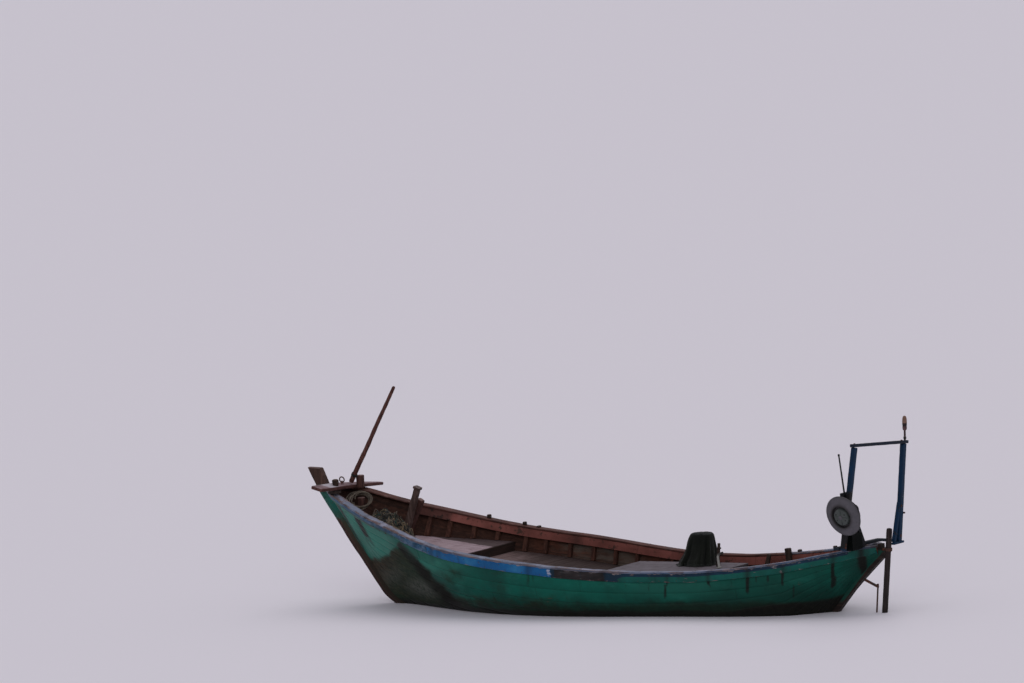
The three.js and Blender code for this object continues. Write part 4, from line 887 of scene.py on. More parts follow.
# ============================================================ the hull's form
SECTIONS = np.array(
    [
        [-4.09, 0.085, 0.862, 0.735, 0.3, 0.3, 0.2, 0.4],
        [-3.95, 0.232, 0.856, 0.615, 0.3, 0.3, 0.18, 0.42],
        [-3.82, 0.31, 0.838, 0.5, 0.32, 0.28, 0.16, 0.45],
        [-3.65, 0.392, 0.81, 0.35, 0.34, 0.26, 0.14, 0.5],
        [-3.4, 0.498, 0.772, 0.078, 0.38, 0.24, 0.12, 0.52],
        [-3.1, 0.6, 0.722, -0.215, 0.42, 0.22, 0.1, 0.55],
        [-2.86, 0.665, 0.688, -0.44, 0.46, 0.2, 0.08, 0.56],
        [-2.45, 0.742, 0.645, -0.432, 0.56, 0.16, 0.06, 0.57],
        [-2.0, 0.788, 0.607, -0.42, 0.66, 0.12, 0.05, 0.58],
        [-1.5, 0.826, 0.582, -0.405, 0.74, 0.1, 0.05, 0.58],
        [-1.0, 0.88, 0.581, -0.392, 0.78, 0.09, 0.05, 0.58],
        [-0.5, 0.972, 0.6, -0.38, 0.78, 0.085, 0.05, 0.58],
        [0.0, 1.07, 0.635, -0.368, 0.77, 0.085, 0.055, 0.57],
        [0.5, 1.138, 0.685, -0.352, 0.74, 0.09, 0.06, 0.56],
        [1.0, 1.167, 0.74, -0.335, 0.7, 0.1, 0.075, 0.54],
        [1.5, 1.153, 0.797, -0.315, 0.64, 0.115, 0.1, 0.5],
        [1.95, 1.098, 0.862, -0.295, 0.56, 0.135, 0.14, 0.46],
        [2.35, 1.005, 0.942, -0.265, 0.47, 0.16, 0.2, 0.42],
        [2.7, 0.9, 1.03, -0.21, 0.38, 0.19, 0.26, 0.38],
        [3.0, 0.8, 1.11, -0.12, 0.3, 0.23, 0.3, 0.35],
        [3.25, 0.713, 1.176, 0.0, 0.24, 0.26, 0.33, 0.33],
        [3.42, 0.65, 1.22, 0.105, 0.22, 0.28, 0.34, 0.32],
        [3.54, 0.6, 1.258, 0.238, 0.22, 0.29, 0.34, 0.32],
        [3.78, 0.5, 1.34, 0.585, 0.22, 0.3, 0.34, 0.32],
        [3.93, 0.435, 1.398, 0.79, 0.24, 0.3, 0.33, 0.32],
        [4.11, 0.345, 1.455, 1.07, 0.26, 0.3, 0.32, 0.33],
        [4.24, 0.23, 1.483, 1.265, 0.28, 0.3, 0.3, 0.34],
        [4.345, 0.105, 1.497, 1.425, 0.3, 0.3, 0.3, 0.35],
    ]
)
HALF = 0.045
PLANK = 0.028
STRAKE = 0.115
RIB_IN = 0.076


def section(x, u):
    """Skin points at stations x (m,) and girth shares u (n,) or (m, n), 0 at the rabbet and 1 at the sheer: y, z, normal y, normal z, each (m, n), and the girth (m,)."""
    x = np.atleast_1d(np.asarray(x, float))
    cols = [pchip(SECTIONS[:, 0], SECTIONS[:, k], x) for k in range(1, 8)]
    sy, sz, rb, out_low, up_low, in_top, down_top = cols
    w, h = sy - HALF, sz - rb
    P = [
        (np.full_like(sy, HALF), rb),
        (HALF + out_low * w, rb + up_low * h),
        (sy - in_top * w, sz - down_top * h),
        (sy, sz),
    ]
    t = np.linspace(0, 1, 161)
    B = [(1 - t) ** 3, 3 * t * (1 - t) ** 2, 3 * t**2 * (1 - t), t**3]
    y = sum(p[0][:, None] * b for p, b in zip(P, B))
    z = sum(p[1][:, None] * b for p, b in zip(P, B))
    s = np.concatenate([np.zeros((len(x), 1)), np.cumsum(np.hypot(np.diff(y, axis=1), np.diff(z, axis=1)), axis=1)], axis=1)
    L = s[:, -1]
    u = np.broadcast_to(np.asarray(u, float), (len(x), np.shape(u)[-1]))
    tt = np.stack([np.interp(u[i] * L[i], s[i], t) for i in range(len(x))])
    B = [(1 - tt) ** 3, 3 * tt * (1 - tt) ** 2, 3 * tt**2 * (1 - tt), tt**3]
    D = [-3 * (1 - tt) ** 2, 3 * (1 - tt) ** 2 - 6 * tt * (1 - tt), 6 * tt * (1 - tt) - 3 * tt**2, 3 * tt**2]
    Y = sum(p[0][:, None] * b for p, b in zip(P, B))
    Z = sum(p[1][:, None] * b for p, b in zip(P, B))
    dy = sum(p[0][:, None] * b for p, b in zip(P, D))
    dz = sum(p[1][:, None] * b for p, b in zip(P, D))
    n = np.hypot(dy, dz)
    return Y, Z, dz / n, -dy / n, L


def strake_foot(L):
    return 1 - np.minimum(STRAKE, 0.45 * L) / L


def inside(x, Y, Z, ny, nz, inset, u):
    """Points moved in by inset: level near the top and the ends, square to the skin elsewhere."""
    k = np.maximum(ny, 0.55)
    level = np.maximum(smooth(0.85, 0.92, u), smooth(2.7, 3.1, np.abs(x))[:, None])
    return Y - inset * ((1 - level) * ny + level / k), Z - inset * (1 - level) * nz


_inner_cache = {}


def half_at(x, z, inset):
    """Half breadth inside the boat at station x and height z."""
    key = (round(float(x), 4), inset)
    if key not in _inner_cache:
        u = np.linspace(0, 1, 60)
        Y, Z, ny, nz, L = section([x], u)
        y, zz = inside(np.array([x]), Y, Z, ny, nz, inset, u[None, :])
        _inner_cache[key] = (zz[0], y[0])
    zz, y = _inner_cache[key]
    return float(np.interp(z, zz, y))


def sheer(x):
    """Sheer y, z and the level factor at stations x."""
    Y, Z, ny, nz, L = section(x, np.array([1.0]))
    return Y[:, 0], Z[:, 0], np.maximum(ny[:, 0], 0.55)


DECKS = {"aft": (-3.62, 0.08, 0.455, 0.455), "main": (0.11, 2.12, 0.33, 0.585), "fore": (2.15, 3.93, 0.7, 0.9)}


def deck_z(x):
    x0, x1, z0, z1 = DECKS["aft"] if x <= 0.095 else DECKS["main"] if x <= 2.135 else DECKS["fore"]
    return z0 + (z1 - z0) * (x - x0) / (x1 - x0)


# ============================================================ rope coil first, then everything else
COIL_AT, COIL_AXIS = np.array([3.886, 0.004, 1.35]), np.array([-0.38, 0.58, 0.72])
ROPE_D = 0.0125


def coil_route():
    """A loose coil dropped over a post: turns of uneven size and tilt, both ends tucked in against the post."""
    axis = COIL_AXIS / np.linalg.norm(COIL_AXIS)
    u = np.cross(axis, [0, 0, 1.0])
    u /= np.linalg.norm(u)
    w = np.cross(axis, u)
    turns_, per = 10, 28
    r = np.random.RandomState(17)
    n = turns_ * per
    a = 2 * np.pi * np.arange(n + 1) / per
    share = np.arange(n + 1) / n
    size = np.interp(np.arange(n + 1) / per, np.arange(turns_ + 1), 0.145 + 0.03 * (r.rand(turns_ + 1) * 2 - 1))
    lift = np.interp(np.arange(n + 1) / per, np.arange(turns_ + 1), np.linspace(-0.03, 0.034, turns_ + 1) + 0.006 * (r.rand(turns_ + 1) * 2 - 1))
    lean = np.interp(np.arange(n + 1) / per, np.arange(turns_ + 1), 0.2 * (r.rand(turns_ + 1) * 2 - 1))
    turn = np.interp(np.arange(n + 1) / per, np.arange(turns_ + 1), r.rand(turns_ + 1) * 6.283)
    size = size * (1 + 0.05 * np.sin(2 * a + 0.6) + 0.02 * np.sin(3.1 * a + 1.0)) + 0.004 * wob(a, 5, 1.7)
    ends = np.minimum(share, 1 - share) * n / per
    size = 0.064 + (size - 0.064) * smooth(0.0, 0.55, ends)
    height = lift + size * lean * np.sin(a - turn) * 0.8 + 0.004 * wob(a, 9, 2.3)
    height = np.clip(height, -0.044, 0.05)
    # some turns slip toward the bow
    slip = np.interp(np.arange(n + 1) / per, np.arange(turns_ + 1), np.maximum(r.rand(turns_ + 1) - 0.4, 0) * 0.09)
    q = COIL_AT + slip[:, None] * np.array([0.84, 0.55, 0.0]) + size[:, None] * (u * np.cos(a)[:, None] + w * np.sin(a)[:, None]) + axis * height[:, None]
    return catmull([tuple(p) for p in q], 4)


route = coil_route()
v, f, a, line = laid(route, ROPE_D, points=12)
rope_coil = make("rope_coil_turns", v, f, MAT["rope"], attrs=a, swap=["rope_coil"], sharp=None)

# ============================================================ planking
STRAKES = 9
BUTTS = [(-1.62, 1.9), (-0.35, 2.7), (0.9, -2.6), (-1.1, 2.2), (0.25, -3.0), (1.7, -1.9), (-0.75, 1.25), (0.55, -2.3), (2.45, -0.1)]


def planking(side):
    sign = 1 if side == "port" else -1
    seed = 11 if side == "port" else 41
    shift = 0.0 if side == "port" else 0.37
    xs = set(np.round(np.linspace(-4.09, 4.345, 470), 4)) | set(np.round(SECTIONS[:, 0], 4))
    butt_of = {}
    for j, pair in enumerate(BUTTS):
        for b in pair:
            b = b + shift
            for d in (-0.006, 0.0, 0.006):
                xs.add(round(b + d, 4))
            butt_of.setdefault(j, []).append(round(b, 4))
    x = np.array(sorted(xs))
    keep = [True] + list(np.diff(x) > 0.0025)
    x = x[np.array(keep)]
    m = len(x)
    # rows: strake index, place in the strake 0..1, and whether it is the seam's bottom
    rows = []
    for j in range(STRAKES):
        for t in (0.03, 0.25, 0.5, 0.75, 0.97):
            rows.append((j, t, 0))
        rows.append((j, 1.0, 1))
    for t in (0.06, 0.35, 0.68, 1.0):
        rows.append((STRAKES, t, 0))
    rows = [(0, 0.0, 0)] + rows
    J = np.array([r[0] for r in rows])
    T = np.array([r[1] for r in rows])
    G = np.array([r[2] for r in rows])
    _, _, _, _, L = section(x, np.array([0.0, 1.0]))
    top = strake_foot(L)
    U = np.where(J < STRAKES, (J + T) / STRAKES * top[:, None], top[:, None] + T * (1 - top[:, None]))
    Y, Z, ny, nz, _ = section(x, U)
    X = np.repeat(x[:, None], len(rows), axis=1)
    # plank faces: each a little proud or shy of its neighbour, and slightly wavy
    off = np.zeros_like(Y)
    for j in range(STRAKES + 1):
        cols = J == j
        off[:, cols] += (0.0009 * wob(x, seed + j, 1.3))[:, None]
    off += 0.0016 * wob2(X, Z * 2.2, seed + 77, 3.0, 3)
    off = np.minimum(off, np.where(J >= STRAKES, 0.0008, 0.0025))
    seam = np.zeros_like(Y)
    seam[:, G == 1] = 1.0
    for j, places in butt_of.items():
        for b in places:
            near = np.abs(x - b) < 0.0015
            seam[np.ix_(near, (J == j) & (T > 0.02))] = 1.0
    off -= 0.0032 * seam
    off *= smooth(-0.001, 0.06, U)  # flush at the rabbet
    Yo, Zo = Y + off * ny, Z + off * nz
    # inner skin, from the top down
    inner_rows = []
    for j in range(STRAKES, -1, -1):
        if j == STRAKES:
            inner_rows += [(j, 1.0, 0), (j, 0.5, 0)]
        else:
            inner_rows += [(j, 1.0, 1), (j, 0.95, 0), (j, 0.5, 0), (j, 0.05, 0)]
    Ji, Ti, Gi = (np.array([r[k] for r in inner_rows]) for k in range(3))
    Ui = np.where(Ji < STRAKES, (Ji + Ti) / STRAKES * top[:, None], top[:, None] + Ti * (1 - top[:, None]))
    Y2, Z2, ny2, nz2, _ = section(x, Ui)
    inset = PLANK + 0.0 * Y2 + 0.0025 * (Gi == 1)[None, :]
    inset = inset * 1.0
    level = np.maximum(smooth(0.85, 0.92, Ui), smooth(2.7, 3.1, np.abs(x))[:, None])
    Yi = Y2 - inset * ((1 - level) * ny2 + level / np.maximum(ny2, 0.55))
    Zi = Z2 - inset * (1 - level) * nz2
    Yi = np.maximum(Yi, 0.014)
    n_out, n_in = len(rows), len(inner_rows)
    ring = np.concatenate(
        [
            np.stack([X, Yo, Zo], -1),
            np.stack([np.repeat(x[:, None], n_in, axis=1), Yi, Zi], -1),
        ],
        axis=1,
    )
    n = n_out + n_in
    flat_pts = ring.reshape(-1, 3).copy()
    faces, index = [], []
    for i in range(m - 1):
        for j in range(n):
            k = (j + 1) % n
            faces.append((i * n + j, i * n + k, (i + 1) * n + k, (i + 1) * n + j))
            index.append(0 if j < n_out - 1 else 1)
    for base in (0, (m - 1) * n):
        for j in range(n // 2 - 1):
            p = n - 1 - j
            if p - 1 <= j + 1:
                break
            faces.append((base + j, base + p, base + p - 1, base + j + 1))
            index.append(1)
    # ---- stains, painted shade and painted highlights, laid by where they show on the port side; the other side has its own
    P = flat_pts.copy()
    if side != "port":
        P[:, 0] += 0.11 * wob(P[:, 0], 5, 1.0) - 0.18
    px, py = place_in_view(P)
    z = flat_pts[:, 2]
    xx = flat_pts[:, 0]
    seed2 = seed + 200
    n2 = wob2(px / 16, py / 16, seed2, 1.0, 4)
    n3 = wob2(px / 5, py / 5, seed2 + 1, 1.0, 3)
    rail_z = np.repeat(section(x, np.array([1.0]))[1][:, 0], n)
    down = rail_z - z  # below the sheer
    # the low bow: a broad brown patch under a slanting edge, thin along the bottom further aft
    upper = np.interp(px, [326, 345, 356, 366, 378, 388, 396, 404, 414, 424, 434, 444, 454, 464, 476, 500], [532, 544, 552, 557, 560, 556, 546, 547, 556, 566, 577, 588, 598, 605, 611, 616])
    grime = smooth(-6, 9, py - upper + 3.6 * n2 + 1.6 * n3) * smooth(520, 460, px) * 0.95
    grime = np.maximum(grime, 0.45 * smooth(440, 470, px) * smooth(640, 540, px) * smooth(586, 602, py + 3 * n2))
    grime = np.maximum(grime, 0.5 * np.exp(-(((px - 452) / 16) ** 2)) * smooth(560, 576, py) * smooth(600, 582, py))
    grime = np.maximum(grime, 0.35 * np.exp(-(((px - 497 - 0.25 * (py - 570)) / 8) ** 2)) * smooth(566, 574, py))
    # slanted runs on the bow, beside the stem
    def slant(x0, y0, x1, y1, width, strength):
        t = np.clip(((px - x0) * (x1 - x0) + (py - y0) * (y1 - y0)) / ((x1 - x0) ** 2 + (y1 - y0) ** 2), 0, 1)
        dist = np.hypot(px - (x0 + t * (x1 - x0)), py - (y0 + t * (y1 - y0)))
        return strength * np.exp(-((dist / width) ** 2)) * (1 - 0.5 * t)

    drip = np.zeros_like(px)
    for s_ in [(356, 518, 375, 549, 2.2, 0.9), (334, 506, 350, 545, 1.8, 0.7), (344, 512, 358, 540, 1.4, 0.5), (385, 532, 396, 556, 1.6, 0.45), (412, 543, 420, 560, 1.5, 0.4), (357, 520, 367, 538, 3.0, 0.95), (366, 540, 379, 562, 2.6, 0.5), (374, 536, 390, 560, 1.8, 0.35), (335, 502, 393, 601, 1.7, 0.85)]:
        drip = np.maximum(drip, slant(*s_))
    t_ = np.clip(((px - 400) * 54 + (py - 546) * 60) / 6516, 0, 1)
    far_off = np.hypot(px - (400 + t_ * 54), py - (546 + t_ * 60)) + 1.6 * n2 + 0.8 * n3
    band = 0.95 * np.exp(-((far_off / (3.6 + 8.5 * t_)) ** 2)) * (0.85 + 0.15 * n3)
    slit = 1.4 * np.exp(-(((py - 519) * 0.55 - (px - 356.5)) / 1.7) ** 2) * smooth(516, 520, py) * smooth(541, 536, py)
    brown = smooth(402, 376, px + 0.25 * (py - 575)) * 0.9 + 0.5 * np.exp(-(((px - 470) / 24) ** 2)) * smooth(590, 600, py)
    # painted sheen: a paler, sky-tinted glint on the grime low on the bow
    painted_sheen = 0.7 * np.exp(-(((px - 424) / 17) ** 2) - ((py - 590 - 0.25 * (px - 424)) / 8) ** 2)
    painted_sheen = np.maximum(painted_sheen, 0.35 * np.exp(-(((px - 392) / 12) ** 2) - ((py - 578) / 10) ** 2))
    jitter = 0.0 if side == "port" else 1.0
    r2 = np.random.RandomState(seed2)
    for x0, y0, y1, w, strength in [
        (529, 572, 588, 3.2, 0.55), (534, 572, 584, 2.2, 0.5), (455, 561, 571, 2.0, 0.45), (608, 580, 590, 2.6, 0.35),
        (627, 582, 590, 2.2, 0.4), (641, 581, 589, 2.0, 0.45), (650, 580, 593, 1.8, 0.55), (668, 574, 586, 1.8, 0.85),
        (666, 584, 599, 2.2, 0.8), (709, 575, 585, 2.4, 1.0), (711, 584, 590, 1.6, 0.6), (732, 577, 589, 1.9, 0.45),
        (748, 571, 593, 2.6, 1.0), (757, 572, 583, 1.7, 0.65), (768, 571, 584, 1.9, 0.7), (783, 569, 586, 2.2, 0.9),
        (794, 584, 600, 2.0, 0.65), (833, 562, 588, 2.6, 1.0), (835, 575, 586, 3.0, 0.8), (858, 550, 560, 3.0, 0.6),
        (582, 578, 586, 1.6, 0.35), (488, 565, 580, 2.0, 0.35), (430, 552, 562, 2.2, 0.3), (400, 540, 552, 2.0, 0.3),
    ]:
        x1 = x0 + jitter * (r2.rand() * 26 - 13)
        ww = 0.82 * w * (1 + 0.1 * np.sin(py * 0.5 + x0))
        drip = np.maximum(drip, strength * np.exp(-(((px - x1 - 0.4 * n3) / ww) ** 2)) * smooth(y0 - 2.5, y0 + 1.5, py + 0.8 * n3) * smooth(y1 + 3.5, y1 - 4, py + 1.2 * n2))
    # a dark patch at the quarter, where the rail's paint ends
    drip = np.maximum(drip, 0.75 * np.exp(-(((px - 863 - 0.2 * (py - 560)) / 4.5) ** 2)) * smooth(546, 552, py) * smooth(584, 566, py))
    drip = np.maximum(drip, 0.95 * np.exp(-(((px - 862) / 6.0) ** 2) - ((py - 559 + 1.5 * n3) / 14.0) ** 2) * smooth(544, 548, py))
    drip = np.maximum(drip, 1.0 * np.exp(-(((px - 865) / 5.0) ** 2) - ((py - 571) / 6.0) ** 2))
    weed = smooth(0.34, 0.07, z + 0.06 * n2) * smooth(400, 470, px) * (0.7 + 0.3 * smooth(560, 760, px))
    weed = np.maximum(weed, smooth(0.12, 0.0, z + 0.03 * n2))
    slime = smooth(0.15, 0.02, z + 0.03 * n2 - 0.14 * smooth(700, 830, px)) * smooth(400, 480, px)
    slime = np.maximum(slime, smooth(0.09, -0.02, z + 0.025 * n2))
    slime = np.maximum(np.maximum(slime, band), slit)
    slime = np.maximum(slime, 1.1 * np.exp(-(((px - 861.5 - 0.12 * (py - 555) + 0.8 * n3) / 4.6) ** 2) - ((py - 560 + 2.0 * n2) / 14.0) ** 2) * smooth(543, 548, py))
    light = 0.8 * smooth(352, 372, px) * smooth(404, 386, px) * smooth(574, 548, py) * (0.7 + 0.3 * n2)
    light = light + 0.6 * smooth(404, 420, px) * smooth(486, 450, px) * smooth(590, 568, py) * (0.5 + 0.5 * n3)
    light = light + 0.6 * smooth(330, 342, px) * smooth(364, 352, px)
    light = light + 0.18 * smooth(610, 650, px) * smooth(735, 700, px) * smooth(600, 590, py)
    blue = 0.85 * smooth(861, 864, px) * smooth(553.5, 550.5, py)
    # painted highlight on the upper hull near the stern's tip
    light = light + 0.6 * smooth(866, 869, px) * smooth(879, 876, px) * smooth(551.5, 549, py)
    # painted shade: darker aft, low on the hull, and at the quarter under the frame's beam
    deep = 0.6 * smooth(640, 800, px) * (0.6 + 0.4 * n2) + 0.35 * smooth(838, 858, px) * smooth(548, 553, py)
    deep = deep + 0.3 * smooth(0.5, 0.25, z) * smooth(470, 560, px)
    outside = np.zeros((m, n), bool)
    outside[:, :n_out] = True
    outside = outside.ravel()
    tone_rows = np.concatenate([J, Ji])
    tone = 0.5 + 0.5 * np.sin(tone_rows * 2.6 + seed)[None, :] * np.ones((m, 1))
    tone = np.clip(tone + 0.25 * wob(x, seed + 9, 0.6)[:, None], 0, 1)
    seam_all = np.concatenate([seam, np.repeat((Gi == 1)[None, :], m, axis=0).astype(float)], axis=1)
    attrs = {
        "grime": np.where(outside, np.clip(grime, 0, 1), 0),
        "drip": np.where(outside, np.clip(drip, 0, 1), 0),
        "weed": np.where(outside, np.clip(weed, 0, 1), 0),
        "slime": np.where(outside, np.clip(slime, 0, 1), 0),
        "light": np.where(outside, np.clip(light, 0, 1), 0),
        "blue": np.where(outside, np.clip(blue, 0, 1), 0),
        "deep": np.where(outside, np.clip(deep, 0, 0.9), 0),
        "painted_sheen": np.where(outside, np.clip(painted_sheen, 0, 1), 0),
        "brown": np.where(outside, np.clip(brown, 0, 1), 0),
        "tone": tone.ravel(),
        "seam": seam_all.ravel(),
        "dirt": np.where(outside, 0, 0.5 * seam_all.ravel()),
    }
    flat_pts[:, 1] *= sign
    return make(f"{side}_planking_strakes", flat_pts, faces, [MAT["hull"], MAT["hull_in"]], attrs=attrs, index=index, swap=[f"{side}_planking_aft", f"{side}_planking_fore"], sharp=55)


for side in ("port", "starboard"):
    planking(side)


# ============================================================ strakes and caps
def along_hull(x0, x1, step=0.02):
    return np.linspace(x0, x1, max(int((x1 - x0) / step), 4) + 1)


def zones(x, side):
    """Attributes along the sheer strake by station."""
    s = 0.0 if side == "port" else 0.5
    bright = smooth(0.26, 0.30, x) * smooth(2.3, 2.16, x)
    pale = smooth(2.1, 2.35, x)
    bare = smooth(-0.5, -0.42, x - s * 0.4) * smooth(0.24, 0.2, x - s * 0.4)
    return bright, pale, bare


def sheer_strake(side):
    sign = 1 if side == "port" else -1
    x = along_hull(-4.09, 4.345, 0.018)
    _, _, _, _, L = section(x, np.array([0.0, 1.0]))
    top = strake_foot(L)
    share = np.array([0.0, 0.05, 0.3, 0.6, 0.93, 1.0])
    U = top[:, None] + share * (1 - top[:, None])
    Y, Z, ny, nz, _ = section(x, U)
    k = np.maximum(ny, 0.55)
    seed = 3 if side == "port" else 8
    wave_out = 0.0009 * wob(x, seed, 2.0)[:, None]
    outer = Y + (0.020 + wave_out - 0.006 * (share == 0.0) - 0.0035 * (share == 1.0)) / k
    inner = Y + 0.002 / k
    Zo = Z.copy()
    Zo[:, 0] += 0.0005 + 0.0025 * wob(x, seed + 1, 3.0)
    rings = np.concatenate(
        [
            np.stack([np.repeat(x[:, None], 6, 1), outer * sign, Zo], -1),
            np.stack([np.repeat(x[:, None], 2, 1), inner[:, [5, 0]] * sign, np.stack([Z[:, 5], Zo[:, 0]], 1)], -1),
        ],
        axis=1,
    )
    v, f = ring_loft(rings)
    n = 8
    xx = v[:, 0]
    bright, pale, bare = zones(xx, side)
    edge = np.tile([1, 0.6, 0, 0, 0.6, 1, 0, 0], len(x)).astype(float)
    pts = v.copy()
    pts[:, 1] = np.abs(pts[:, 1])
    px, py = place_in_view(pts)
    drip = np.zeros_like(px)
    r2 = np.random.RandomState(seed)
    for x0, w, strength in [(529, 3, 0.5), (668, 2, 0.5), (709, 2.5, 0.6), (748, 3, 0.7), (783, 2.5, 0.6), (833, 3, 0.6), (556, 3, 0.5), (564, 2, 0.5), (604, 2.5, 0.8), (861, 4.6, 1.0), (867, 2.5, 0.5), (432, 3, 0.6), (438, 2, 0.5), (440, 3, 0.4), (378, 2.5, 0.5), (386, 1.5, 0.6), (392, 1.5, 0.5), (403, 2, 0.4), (372, 2, 0.4)]:
        x1 = x0 + (0 if side == "port" else r2.rand() * 20 - 10)
        drip = np.maximum(drip, strength * np.exp(-(((px - x1) / w) ** 2)))
    low = np.tile([1, 1, 1, 0.62, 0, 0, 0, 1], len(x)).astype(float)
    lower = np.tile([1, 1, 0.9, 0.15, 0, 0, 0, 1], len(x)).astype(float)
    green = np.maximum(low * smooth(-0.5, -0.8, xx), 0.95 * smooth(-3.78, -3.84, xx))
    green = np.maximum(green, lower * 0.8 * smooth(2.5, 2.9, xx))
    white = 0.55 * np.exp(-(((xx - 0.3) / 0.07) ** 2)) + 0.0 * low
    return make(f"{side}_sheer_strake_plank", v, f, MAT["strake"], attrs={"bright": bright, "pale": pale, "bare": bare, "edge": edge, "drip": drip, "green": green, "white": white}, swap=[f"{side}_sheer_strake"], sharp=50)


def gunwale_cap(side):
    sign = 1 if side == "port" else -1
    x = along_hull(-4.09, 4.345, 0.018)
    sy, sz, k = sheer(x)
    out = sy + 0.028 / k
    inn = np.maximum(sy - 0.1 / k, 0.012)
    seed = 13 if side == "port" else 18
    z0, z1 = sz + 0.002, sz + 0.026
    out = out + 0.0016 * wob(x, seed, 2.4) - 0.001
    inn = inn + 0.0016 * wob(x, seed + 1, 2.1) + 0.001
    z1 = z1 + 0.0012 * wob(x, seed + 2, 1.7) - 0.0008
    c = 0.006
    prof = [
        (out - c * 0.6, z0), (out, z0 + c * 0.8), (out, z1 - c), (out - c * 0.35, z1 - c * 0.3), (out - c, z1),
        ((out * 2 + inn) / 3, z1 + 0.0006), ((out + inn * 2) / 3, z1 + 0.0006),
        (inn + c, z1), (inn + c * 0.35, z1 - c * 0.3), (inn, z1 - c), (inn, z0 + c * 0.6), (inn + c * 0.6, z0),
    ]
    rings = np.stack([np.stack([x, p[0] * sign, p[1]], -1) for p in prof], axis=1)
    v, f = ring_loft(rings)
    xx = v[:, 0]
    edge = np.tile([0.5, 1, 1, 1, 1, 0, 0, 1, 1, 0.6, 0.2, 0.2], len(x)).astype(float)
    red = smooth(-2.6, -1.9, xx) * 0.95 if side != "port" else smooth(-2.0, -1.2, xx) * smooth(2.6, 2.2, xx) * 0.15
    outer_face = np.tile([0, 1, 1, 0.4, 0, 0, 0, 0, 0, 0, 0, 0], len(x)).astype(float)
    blue = outer_face * (0.55 + 0.3 * smooth(-0.6, -1.2, xx)) * smooth(2.7, 2.3, xx)
    drip = np.zeros_like(xx)
    for x0, w, strength in [(-3.65, 0.06, 0.6), (-2.5, 0.05, 0.5), (-1.96, 0.04, 0.5), (0.6, 0.06, 0.4), (2.2, 0.08, 0.5), (3.4, 0.06, 0.5), (-0.45, 0.05, 0.6)]:
        drip = np.maximum(drip, strength * np.exp(-(((xx - x0 - (0 if side == "port" else 0.2)) / w) ** 2)))
    drip = np.maximum(drip, 0.85 * smooth(-3.78, -3.9, xx + 0.03 * wob(xx, seed + 4, 9.0)))
    return make(f"{side}_gunwale_cap_rail", v, f, MAT["cap"], attrs={"edge": edge, "red": red, "drip": drip, "blue": blue}, swap=[f"{side}_gunwale_cap"], sharp=60)


def inner_strake(side):
    sign = 1 if side == "port" else -1
    x = along_hull(-3.63, 3.42, 0.025)
    _, _, _, _, L = section(x, np.array([0.0, 1.0]))
    top = strake_foot(L)
    U = np.stack([top, (top + 1) / 2, np.ones_like(top)], 1)
    Y, Z, ny, nz, _ = section(x, U)
    face = inside(x, Y, Z, ny, nz, 0.094, U)
    back = inside(x, Y, Z, ny, nz, 0.078, U)
    lo, hi = face[1][:, 0] + 0.004, face[1][:, 2] - 0.002
    c = 0.004
    seed = 23 if side == "port" else 28
    lo = lo + 0.002 * wob(x, seed, 2.2) + 0.001
    prof = [
        (back[0][:, 0], lo), (face[0][:, 0] + c, lo), (face[0][:, 0], lo + c), (face[0][:, 1], (lo + hi) / 2),
        (face[0][:, 2], hi - c), (face[0][:, 2] + c, hi), (back[0][:, 2], hi),
    ]
    rings = np.stack([np.stack([x, np.maximum(p[0], 0.012) * sign, p[1]], -1) for p in prof], axis=1)
    v, f = ring_loft(rings)
    xx = v[:, 0]
    tone = (np.floor((xx + 9 + seed * 0.13) / 1.9) % 3) / 3.0
    dirt = 0.55 * np.exp(-(((xx - 1.25) / 0.1) ** 2)) + 0.35 * np.exp(-(((xx + 0.6) / 0.06) ** 2)) + 0.62 * smooth(2.9, 2.98, xx)
    return make(f"{side}_inner_strake_plank", v, f, MAT["inner_red"], attrs={"tone": tone, "dirt": dirt}, swap=[f"{side}_inner_strake"], sharp=50)


for side in ("port", "starboard"):
    sheer_strake(side)
    gunwale_cap(side)
    inner_strake(side)


